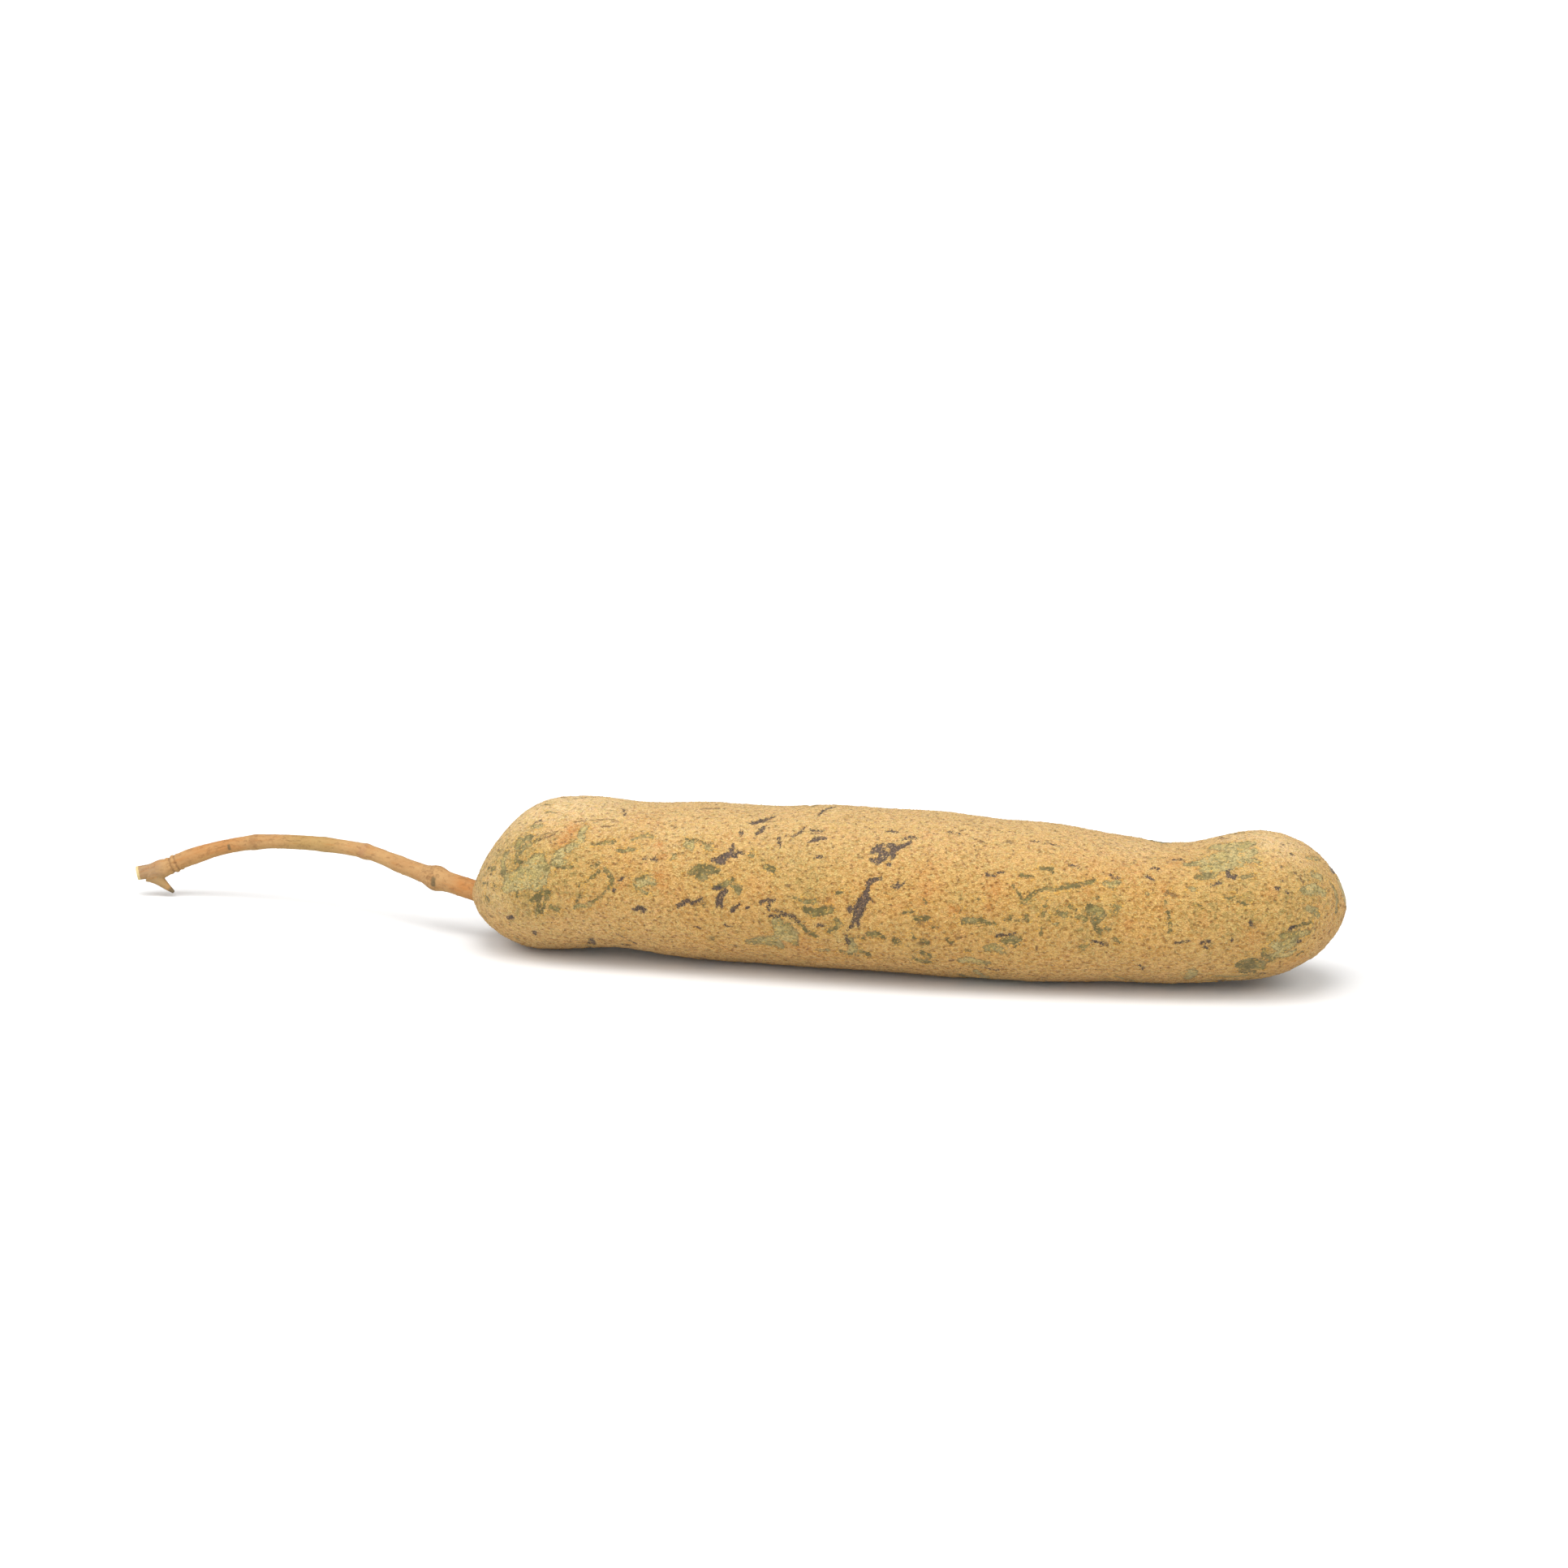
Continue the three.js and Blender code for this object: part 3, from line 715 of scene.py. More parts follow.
redClouds = [
    (706, 1021, 13, 0.9), (690, 1037, 11, 0.8), (698, 1029, 9, 0.8), (811, 1041, 8, 0.9),
    (817, 1054, 9, 0.6), (814, 1078, 10, 0.9), (816, 1092, 9, 0.8), (767, 1088, 10, 0.6),
    (745, 1112, 20, 0.4), (800, 1010, 26, 0.3), (1144, 1094, 15, 0.7), (1140, 1075, 13, 0.5),
    (1136, 1112, 12, 0.4), (1225, 1095, 15, 0.6), (1222, 1118, 12, 0.5), (1172, 1122, 9, 0.6),
    (1180, 1124, 8, 0.6), (1110, 1118, 14, 0.4), (1066, 1098, 16, 0.3), (1022, 1112, 12, 0.5),
    (985, 1165, 14, 0.6), (996, 1172, 20, 0.4), (930, 1092, 20, 0.25), (1140, 1136, 12, 0.5),
    (1340, 1100, 10, 0.5), (1388, 1140, 12, 0.5), (1434, 1095, 9, 0.6), (1435, 1120, 9, 0.4),
    (1402, 1101, 7, 0.5), (1392, 1065, 20, 0.35), (1450, 1060, 16, 0.4), (1565, 1100, 12, 0.5),
    (1548, 1150, 14, 0.3), (1626, 1118, 10, 0.4), (1540, 1165, 18, 0.25), (1485, 1135, 20, 0.3),
    (1590, 1190, 26, 0.35), (1636, 1150, 22, 0.3),
]
# Painted light: pale clouds for the highlights on the top, the rim light round the stalk end and floor
# bounce low on the sides
paintedLightClouds = [
    (640, 1010, 50, 0.8), (690, 990, 50, 0.8), (600, 1060, 26, 0.6), (740, 992, 46, 0.5),
    (1560, 1035, 40, 0.7), (1600, 1050, 34, 0.5), (1520, 1032, 30, 0.5), (1400, 1045, 40, 0.4),
    (820, 1035, 40, 0.25), (650, 1142, 40, 0.55), (720, 1140, 44, 0.5), (800, 1135, 40, 0.35),
    (612, 1112, 30, 0.45), (562, 1090, 26, 0.9), (578, 1050, 30, 0.8), (574, 1120, 26, 0.8),
    (1360, 1195, 60, 0.25), (1460, 1190, 50, 0.3), (1620, 1150, 34, 0.3),
]


markReach = 3.0  # mm around a mark in which its distance is kept
markStride = 5  # pixels between the places where a line is laid on the skin
podMiddle = (30, 0, 12)  # mm
cloudFall = 1.2  # more makes every cloud smaller
wornTones = (0.15, 0.95)

# Marks at random on the skin that faces away from the camera: sizes and strides in mm,
# a pair is the least and the most
wildSeed = 7
facingLimit = 0.02
wildMarks = {
    "scars": {"count": 34, "sizes": (0.5, 0.6, 0.8, 1.3), "steps": (1, 5), "stride": 0.8},
    "scratches": {"count": 16, "sizes": (0.3,), "steps": (3, 6), "stride": 1.0},
    "worn": {"count": 40, "sizes": (0.7, 0.9, 1.2, 1.8, 2.6), "steps": (1, 6), "stride": 1.1},
    "clouds": {"count": 26, "reach": (2, 5), "strength": (0.3, 0.7)},  # of moss, and again of red
    # some larger patches with small ones round them, on mossy ground
    "clusters": {"count": 15, "marks": (5, 10), "spread": (5, 3, 3), "sizes": (0.6, 0.8, 1.2, 2.2, 3.4),
                 "steps": (1, 5), "stride": 1.2, "reach": (4, 7), "strength": (0.35, 0.6)},
}
wander = {"turn": 0.6, "thinnest": 0.45, "thickness": (0.8, 1.2)}


def thicken(line, stride):
    # the same line with in-between corners, no more than a stride apart
    result = []
    for first, second in zip(line, line[1:]):
        steps = max(1, round(math.dist(first[:2], second[:2]) / stride))
        for k in range(steps):
            result.append([a + (b - a) * k / steps for a, b in zip(first, second)])
    result.append(list(line[-1]))
    return result


def layLine(skin, line):
    # rows of x, y, z, radius in mm where the camera sees the line on the skin; a pixel
    # that just misses the pod is laid on the skin nearest to it
    laid = []
    for column, row, thickness in thicken(line, markStride):
        look = sightLine(column, row)
        place, _, _, depth = skin.ray_cast(cameraPlace * mm, look)
        if place is None:
            depth = (Vector(podMiddle) * mm - cameraPlace * mm).length
            place, _, _, _ = skin.find_nearest(cameraPlace * mm + look * depth)
        laid.append([*(place / mm), thickness / 2 * depth / mm / pixelFocus])
    return np.array(laid)


def wanderLine(skin, start, rng, steps, stride, thickness):
    # a short random walk over the skin from near a place, thickest in the middle
    place, normal, _, _ = skin.find_nearest(Vector(start) * mm)
    heading = normal.orthogonal().normalized()
    side = normal.cross(heading)
    turn = rng.uniform(0, 2 * math.pi)
    laid = []
    for k in range(steps + 1):
        swell = math.sin(math.pi * (k + 0.6) / (steps + 1.2))
        share = wander["thinnest"] + (1 - wander["thinnest"]) * swell
        laid.append([*(place / mm), thickness / 2 * share * rng.uniform(*wander["thickness"])])
        turn += rng.uniform(-wander["turn"], wander["turn"])
        step = (heading * math.cos(turn) + side * math.sin(turn)) * stride * mm
        place, normal, _, _ = skin.find_nearest(place + step)
    return np.array(laid)


def paintLines(corners, lines):
    # how deep each corner lies inside the lines, in mm, and the tone of the line there
    depth = np.full(len(corners), -markReach)
    tone = np.zeros(len(corners))
    for lineTone, laid in lines:
        margin = markReach + laid[:, 3].max()
        low = laid[:, :3].min(axis=0) - margin
        high = laid[:, :3].max(axis=0) + margin
        near = np.flatnonzero(np.all((corners > low) & (corners < high), axis=1))
        best = np.full(len(near), -markReach)
        for start, end in zip(laid, laid[1:]):
            run = end[:3] - start[:3]
            away = corners[near] - start[:3]
            share = np.clip(away @ run / max(run @ run, 1e-9), 0, 1)
            gap = np.linalg.norm(away - share[:, None] * run, axis=1)
            best = np.maximum(best, start[3] + (end[3] - start[3]) * share - gap)
        deeper = best > depth[near]
        depth[near[deeper]] = best[deeper]
        tone[near[deeper]] = lineTone
    return depth, tone


def paintClouds(corners, skin, clouds, extra=()):
    # soft spots, 1 in the middle of a strong one
    spots = []
    for column, row, reach, strength in clouds:
        place = layLine(skin, [(column, row, 2 * reach)])[0]
        spots.append((place[:3], place[3], strength))
    value = np.zeros(len(corners))
    for place, reach, strength in [*spots, *extra]:
        away = np.linalg.norm(corners - place, axis=1) / reach
        value = 1 - (1 - value) * (1 - strength * np.exp(-cloudFall * away**2))
    return value


def turnedAway(corners, normals):
    # numbers of the corners where the skin faces away from the camera
    toCamera = np.array(cameraPlace) - corners
    toCamera /= np.linalg.norm(toCamera, axis=1)[:, None]
    return np.flatnonzero(np.sum(toCamera * normals, axis=1) < facingLimit)


def markSkin(mesh):
    corners = cornersOf(mesh)
    polygons = [tuple(face.vertices) for face in mesh.polygons]
    skin = BVHTree.FromPolygons([Vector(corner) for corner in (corners * mm).tolist()], polygons)
    rng = random.Random(wildSeed)
    hidden = turnedAway(corners, cornerValues(mesh, "normal"))

    def anywhere():
        return corners[hidden[rng.randrange(len(hidden))]]

    def wildLine(kind, start=None):
        sizes = kind["sizes"]
        size = rng.choice(sizes) if len(sizes) > 1 else sizes[0]
        place = anywhere() if start is None else start
        return wanderLine(skin, place, rng, rng.randint(*kind["steps"]), kind["stride"], size)

    def wildPatch(kind, start=None):
        line = wildLine(kind, start)
        return rng.uniform(*wornTones), line

    scars = [(1, layLine(skin, line)) for line in scarLines.values()]
    scars += [(1, wildLine(wildMarks["scars"])) for _ in range(wildMarks["scars"]["count"])]
    scratches = [(1, layLine(skin, line)) for line in scratchLines.values()]
    scratches += [(1, wildLine(wildMarks["scratches"])) for _ in range(wildMarks["scratches"]["count"])]
    worn = [(tone, layLine(skin, line)) for tone, line in wornLines.values()]
    worn += [wildPatch(wildMarks["worn"]) for _ in range(wildMarks["worn"]["count"])]
    cloud = wildMarks["clouds"]
    wildClouds = [(anywhere(), rng.uniform(*cloud["reach"]), rng.uniform(*cloud["strength"]))
                  for _ in range(2 * cloud["count"])]
    wildMoss, wildRed = wildClouds[:cloud["count"]], wildClouds[cloud["count"]:]
    cluster = wildMarks["clusters"]
    for _ in range(cluster["count"]):
        middle = anywhere()
        wildMoss.append((middle, rng.uniform(*cluster["reach"]), rng.uniform(*cluster["strength"])))
        for _ in range(rng.randint(*cluster["marks"])):
            start = middle + np.array([rng.gauss(0, spread) for spread in cluster["spread"]])
            worn.append(wildPatch(cluster, start))

    keepValues(mesh, "scar", paintLines(corners, scars)[0])
    keepValues(mesh, "scratch", paintLines(corners, scratches)[0])
    wornDepth, wornTone = paintLines(corners, worn)
    keepValues(mesh, "worn", wornDepth)
    keepValues(mesh, "wornTone", wornTone)
    keepValues(mesh, "moss", paintClouds(corners, skin, mossClouds, wildMoss))
    keepValues(mesh, "red", paintClouds(corners, skin, redClouds, wildRed))
    # the pale clouds are painted light
    keepValues(mesh, "pale", paintClouds(corners, skin, paintedLightClouds))


# Heights on the rind, in mm
podRelief = {
    "Inset": 0.16,  # keeps lumps and crumbs within the plain solid
    "Lump height": 0.2,
    "Scurf height": 0.12,
    "Grain height": 0.11,
    "Worn depth": 0.07,
    "Scar depth": 0.13,
}
domeMiddle = 0.55  # distance from the middle of a dome at which it neither rises nor sinks
scarRough = 0.16  # mm between the highest and the lowest of a scar's floor

# Sizes of the loose crumbs, in metres
scurfCrumbs = {
    "Spacing": 0.0004,
    "Density": 6e6,
    "Crumb length": 0.00015,
    "Crumb height": 0.00007,
    "Seed": 5,
}
crumbShape = {"broadest": 1.6, "lowest": 0.5, "change": 0.5, "width": 0.62, "sides": 5, "rings": 2}
crumbTones = (0.05, 1.0)
crumbLengths = (0.55, 1.35)  # shares of the crumb length
crumbTurns = (-0.9, 0.9)  # radians off the pod's length
crumbSpread = {
    "edge": (-0.9, 0.0),  # mm from a worn patch, between which the crumbs get thicker
    "usual": 0.6,  # their share away from worn patches
    "wornOff": 0.95,  # share missing on a worn patch
    "clearHeight": (0.1, 0.5),  # mm over the table, below and above which there are none and all
}

# Patterns over the rind: scale per mm and share of it along the pod; a noise also has its
# detail, its roughness and a shift
rindCells = {
    "grain": (3.3, 0.66),
    "pores": (1.6, 0.8),
    "flecks": (0.42, 0.45),
    "domes": (0.95, 0.66),
}
rindNoises = {
    "lumps": (0.24, 1.0, 2, 0.5, 0.0),
    "roughGrain": (1.6, 0.66, 2, 0.6, 4.1),
    "scarFloor": (2.4, 1.0, 1, 0.5, 9.0),
    "torn": (1.9, 1.0, 5, 0.78, 11.3),
    "frayed": (2.7, 1.0, 4, 0.8, 5.5),
    "broad": (0.07, 1.0, 2, 0.5, 2.0),
    "mottle": (0.42, 1.0, 4, 0.62, 7.7),
    "patchy": (0.2, 1.0, 5, 0.7, 51.0),
    "fine": (4.6, 0.8, 3, 0.75, 0.0),
    "pits": (2.3, 0.7, 2, 0.6, 83.0),
    "mossSpots": (0.9, 1.0, 5, 0.75, 21.0),
    "orange": (0.13, 1.0, 3, 0.6, 17.0),
    "blush": (0.8, 1.0, 4, 0.7, 71.0),
    "lime": (0.6, 1.0, 3, 0.6, 31.0),
    "speckle": (2.2, 1.0, 2, 0.6, 63.0),
    "strands": (1.5, 0.6, 4, 0.75, 91.0),
    "scarMottle": (2.4, 1.0, 4, 0.75, 40.0),
    "scarPale": (3.6, 1.0, 3, 0.7, 47.0),
    "scarIslands": (3.2, 1.0, 3, 0.7, 37.0),
}
warping = {"scale": 1.1, "amount": 0.7}  # mm that the cells are drawn out of shape

# Edges of the patches, in mm: how far they are torn either way, how far they are set in and
# half the width over which they fade
edges = {
    "worn": {"torn": 0.9, "inset": 0.08, "soft": 0.06},
    "scarForm": {"torn": 0.4, "inset": 0.02, "soft": 0.06},
    "scar": {"torn": 0.3, "frayed": 0.75, "soft": 0.05},
    "scratch": {"torn": 0.3, "inset": 0, "soft": 0.05},
}

rindColours = {
    "tan": tint(224, 186, 120),
    "gold": tint(208, 157, 78),
    "orangeTan": tint(230, 158, 88),
    "oliveTan": tint(190, 168, 106),
    "belly": tint(212, 152, 72),
    "redBrown": tint(198, 112, 60),
    "gap": tint(170, 124, 66),
    "pore": tint(146, 92, 46),
    "fleck": tint(84, 62, 40),
    "pinkGrain": tint(232, 172, 130),
    "greenGrain": tint(200, 188, 124),
    "paleGrain": tint(242, 204, 138),
    "yellowGrain": tint(238, 180, 86),
    "veil": tint(160, 150, 88),
    "moss": tint(122, 112, 62),
    "sage": tint(200, 182, 128),
    "lime": tint(194, 174, 102),
    "darkMoss": tint(82, 78, 42),
    "scar": tint(80, 62, 54),
    "scarDark": tint(42, 32, 29),
    "scarPale": tint(142, 120, 102),
    "scratch": tint(118, 86, 52),
    # pale colour of the painted light: highlights on the top, rim light and floor bounce
    "dust": tint(255, 232, 192),
}


def drawnAlong(point, share):
    return stretched(point, (share, 1.0, 1.0)) if share < 1 else point


def rindCell(point, name):
    scale, share = rindCells[name]
    return cellsAt(drawnAlong(point, share), scale)


def rindNoise(point, name):
    scale, share, detail, rough, shift = rindNoises[name]
    return noiseAt(drawnAlong(point, share), scale, detail, rough, shift)


def cellTones(cells):
    # three random numbers for each cell, from its colour
    return cells.node("ShaderNodeSeparateColor", None, {0: cells["Color"]})


def tornNoise(point):
    # swings about 0; added to a smooth depth it tears the edge of a patch
    return rindNoise(point, "torn") * 2 - 1


def edgeMask(depth, torn, edge):
    moved = depth - edge["inset"] + torn * edge["torn"]
    return moved.fade(-edge["soft"], edge["soft"])


def patchMasks(tree, point):
    # where the skin is worn and where it is scarred
    torn = tornNoise(point)
    worn = edgeMask(storedValue(tree, "worn"), torn, edges["worn"])
    return worn, edgeMask(storedValue(tree, "scar"), torn, edges["scarForm"])


def makeReliefTree(material):
    tree, given = geometryTree("rindRelief", podRelief)
    point = millimetrePoint(addNode(tree, "GeometryNodeInputPosition"))
    worn, scar = patchMasks(tree, point)
    lumps = (rindNoise(point, "lumps") - 0.5) * given["Lump height"]
    domes = (domeMiddle - rindCell(point, "domes")["Distance"]) * given["Scurf height"]
    grains = (rindNoise(point, "roughGrain") - 0.5) * given["Grain height"] * 2
    rise = lumps + (1 - worn) * (1 - scar) * (domes + grains)
    rise = rise - worn * given["Worn depth"] - scar * given["Scar depth"] - given["Inset"]
    rise = rise + (rindNoise(point, "scarFloor") - 0.5) * scar * scarRough
    pushOut(tree, given, rise, material)
    return tree


def randomValue(tree, limits, seed):
    return addNode(tree, "FunctionNodeRandomValue", {"data_type": "FLOAT"},
                   {"Min_001": limits[0], "Max_001": limits[1], "Seed": seed})["Value_001"]


def makeScurfTree(material):
    tree, given = geometryTree("scurfCrumbs", scurfCrumbs, whole=("Seed",))
    point = millimetrePoint(addNode(tree, "GeometryNodeInputPosition"))
    worn, scar = patchMasks(tree, point)
    edge = storedValue(tree, "worn").fade(*crumbSpread["edge"])
    usual = crumbSpread["usual"]
    spread = (1 - worn * crumbSpread["wornOff"]) * (1 - scar) * (usual + edge * (1 - usual))
    spread = spread * heightOf(tree, point).fade(*crumbSpread["clearHeight"])
    scattered = addNode(tree, "GeometryNodeDistributePointsOnFaces", {"distribute_method": "POISSON"},
                        {"Mesh": given["Geometry"], "Distance Min": given["Spacing"],
                         "Density Max": given["Density"], "Density Factor": spread, "Seed": given["Seed"]})
    tone = randomValue(tree, crumbTones, 3)
    toned = addNode(tree, "GeometryNodeStoreNamedAttribute", {"data_type": "FLOAT", "domain": "POINT"},
                    {"Geometry": scattered, "Name": "crumb", "Value": tone})
    length = randomValue(tree, crumbLengths, 8)
    turn = addNode(tree, "ShaderNodeCombineXYZ", None, {"Z": randomValue(tree, crumbTurns, 13)})
    along = addNode(tree, "FunctionNodeAlignRotationToVector", {"axis": "X", "pivot_axis": "Z"},
                    {"Rotation": scattered["Rotation"], "Vector": (1.0, 0.0, 0.0)})
    turned = addNode(tree, "FunctionNodeRotateRotation", {"rotation_space": "LOCAL"},
                     {"Rotation": along, "Rotate By": turn})
    # a long crumb is narrow and high, a short one broad and low
    longer = length * crumbShape["change"]
    size = addNode(tree, "ShaderNodeCombineXYZ", None, {
        "X": length * given["Crumb length"],
        "Y": (crumbShape["broadest"] - longer) * given["Crumb length"] * crumbShape["width"],
        "Z": (crumbShape["lowest"] + longer) * given["Crumb height"],
    })
    crumb = addNode(tree, "GeometryNodeMeshUVSphere", None,
                    {"Segments": crumbShape["sides"], "Rings": crumbShape["rings"], "Radius": 1.0})
    placed = addNode(tree, "GeometryNodeInstanceOnPoints", None,
                     {"Points": toned, "Instance": crumb, "Rotation": turned, "Scale": size})
    finishTree(tree, placed, material)
    return tree


# Coats of colour: the values of a pattern at which the coat starts and is full, its strength
# and its colour. Where the first value is the higher one, the coat lies in the pattern's lows.
rindCoats = {
    "orangeFields": (0.46, 0.64, 0.6, "orangeTan"),
    "oliveMottle": (0.42, 0.62, 0.42, "oliveTan"),
    "orangeBlush": (0.5, 0.64, 0.4, "orangeTan"),
    "greenBlush": (0.48, 0.36, 0.3, "veil"),
    "pinkGrains": (0.55, 0.85, 0.42, "pinkGrain"),
    "greenGrains": (0.5, 0.8, 0.6, "greenGrain"),
    "yellowGrains": (0.7, 0.85, 0.35, "yellowGrain"),
    "fineGaps": (0.46, 0.6, 0.98, "gap"),
    "finePale": (0.48, 0.34, 0.5, "paleGrain"),
    "mossSpots": (0.67, 0.74, 0.42, "moss"),
    "crumbs": (0.15, 0.9, 0.2, "paleGrain"),
    "limeSpots": (0.46, 0.62, 0.45, "lime"),
    "darkRim": (0.3, 0.05, 0.7, "darkMoss"),
    "darkFine": (0.44, 0.58, 0.5, "darkMoss"),
    "darkSpeckle": (0.56, 0.64, 0.6, "darkMoss"),
    "darkStrands": (0.53, 0.6, 0.6, "darkMoss"),
    "scarRim": (0.3, 0.05, 0.7, "scarDark"),
    "scarPale": (0.52, 0.62, 0.45, "scarPale"),
}
# Values of a pattern between which its mask rises; with the higher one first it falls
rindFades = {
    "gap": (0.3, 0.62),
    "pore": (0.32, 0.06),
    "poreTone": (0.0, 0.7),
    "lump": (0.28, 0.6),
    "pits": (0.5, 0.62),
    "fleck": (0.17, 0.09),
    "fleckTone": (0.62, 0.76),
    "along": (0.0, 1.0),
    "belly": (9.0, 1.0),  # heights in mm
    # crown: heights over which the painted top light comes in
    "crown": (14.0, 24.0),
    "veilEdge": (-1.4, 0.3),  # mm inside a worn patch
    "veilPatches": (0.25, 0.58),
    "redMottle": (0.3, 0.55),
    "poreMottle": (0.35, 0.55),
    "edgeCrumb": (-0.9, -0.1),
    "edgeTone": (0.4, 0.6),
    "wornTone": (0.18, 0.78),
    "scarMottle": (0.44, 0.56),
    "strandsLeft": (0.44, 0.38),
    "grainsLeft": (0.72, 0.8),
    "islands": (0.58, 0.64),
}
# Strengths of the masks and coats that have no row above
rindShares = {
    "belly": 0.45,
    "paleDust": 0.5,
    "crownDust": 0.45,
    "mostDust": 0.85,
    "dustedGaps": 0.7,  # how much the painted light takes off the gaps and off the pores
    "dustedPores": 0.5,
    "mossVeil": 0.9,
    "edgeVeil": 0.35,
    "gap": 0.55,
    "lump": 0.3,
    "redMottle": 0.4,
    "redPits": 0.3,
    "pits": 0.52,
    "bellyPits": 0.28,
    "pores": 0.45,
    "mottledPores": 0.15,
    "fleck": 0.6,
    "mossyFlecks": 0.35,
    "tornFlecks": 0.08,
    "mossySpots": 0.2,
    "broadSpots": 0.1,
    "edgeCrumb": 0.45,
    "mottledTone": 1.2,
    "worn": 0.9,
    "strandsLeft": 0.75,
    "grainsLeft": 0.5,
    "scratch": 0.8,
    "islands": 0.7,
    "scar": 0.95,
}
# Strength and most of what the moss does
mossCaps = {"olive": (1.2, 0.75), "veil": (0.8, 0.6), "calm": (0.8, 0.5)}
rindFinish = {
    "saturation": 1.06,
    "value": 0.785,
    "rough": 0.84,
    "wornGloss": 0.16,  # how much less rough a worn patch and a scar are
    "scarGloss": 0.24,
    "sheen": 0.2,
}
# Heights and depths in the bump, in mm, and the share of it that is gone on a worn patch
rindBump = {"dome": 0.1, "lump": 0.08, "pore": 0.22, "fine": 0.1, "scratch": 0.08, "wornOff": 0.7}
goldAlong = {"from": -15, "over": 70}  # mm along the pod in which tan turns to gold


def coat(colour, pattern, name, share=1.0):
    start, full, strength, over = rindCoats[name]
    return mixColour(pattern.fade(start, full) * (strength * share), colour, rindColours[over])


def rindFade(pattern, name):
    return pattern.fade(*rindFades[name])


def capped(mask, name):
    strength, most = mossCaps[name]
    return (mask * strength).atMost(most)


def rindPatterns(tree, point):
    # everything that the colours and the bump of the rind are made from
    look = {name: storedValue(tree, name) for name in ("wornTone", "moss", "red", "pale", "crumb")}
    look["torn"] = tornNoise(point)
    look["wornDepth"] = storedValue(tree, "worn")
    look["worn"] = edgeMask(look["wornDepth"], look["torn"], edges["worn"])
    frayed = (rindNoise(point, "frayed") * 2 - 1) * edges["scar"]["frayed"]
    look["scarDepth"] = storedValue(tree, "scar") + look["torn"] * edges["scar"]["torn"] + frayed
    look["scar"] = look["scarDepth"].fade(-edges["scar"]["soft"], edges["scar"]["soft"])
    look["scratch"] = edgeMask(storedValue(tree, "scratch"), look["torn"], edges["scratch"])
    for name in ("broad", "mottle", "patchy", "fine"):
        look[name] = rindNoise(point, name)
    axes = addNode(tree, "ShaderNodeSeparateXYZ", None, {0: point})
    look["along"] = axes["X"]
    look["height"] = axes["Z"]

    warp = addNode(tree, "ShaderNodeTexNoise", None,
                   {"Vector": point, "Scale": warping["scale"], "Detail": 1.0})["Color"]
    warped = vectorMaths("MULTIPLY_ADD", point, {0: warp, 1: (warping["amount"],) * 3, 2: point})
    grain, pores, flecks = (rindCell(warped, name) for name in ("grain", "pores", "flecks"))
    look["tones"] = cellTones(grain)
    look["gap"] = rindFade(grain["Distance"], "gap")
    look["dome"] = 1 - look["gap"]
    look["pore"] = rindFade(pores["Distance"], "pore") * rindFade(cellTones(pores)["Red"], "poreTone")
    look["lump"] = rindFade(pores["Distance"], "lump")
    look["pits"] = rindFade(rindNoise(point, "pits"), "pits")
    fleckTone = cellTones(flecks)["Green"] + look["moss"] * rindShares["mossyFlecks"]
    fleckEdge = flecks["Distance"] + look["torn"] * rindShares["tornFlecks"]
    look["fleck"] = rindFade(fleckEdge, "fleck") * rindFade(fleckTone, "fleckTone")
    return look


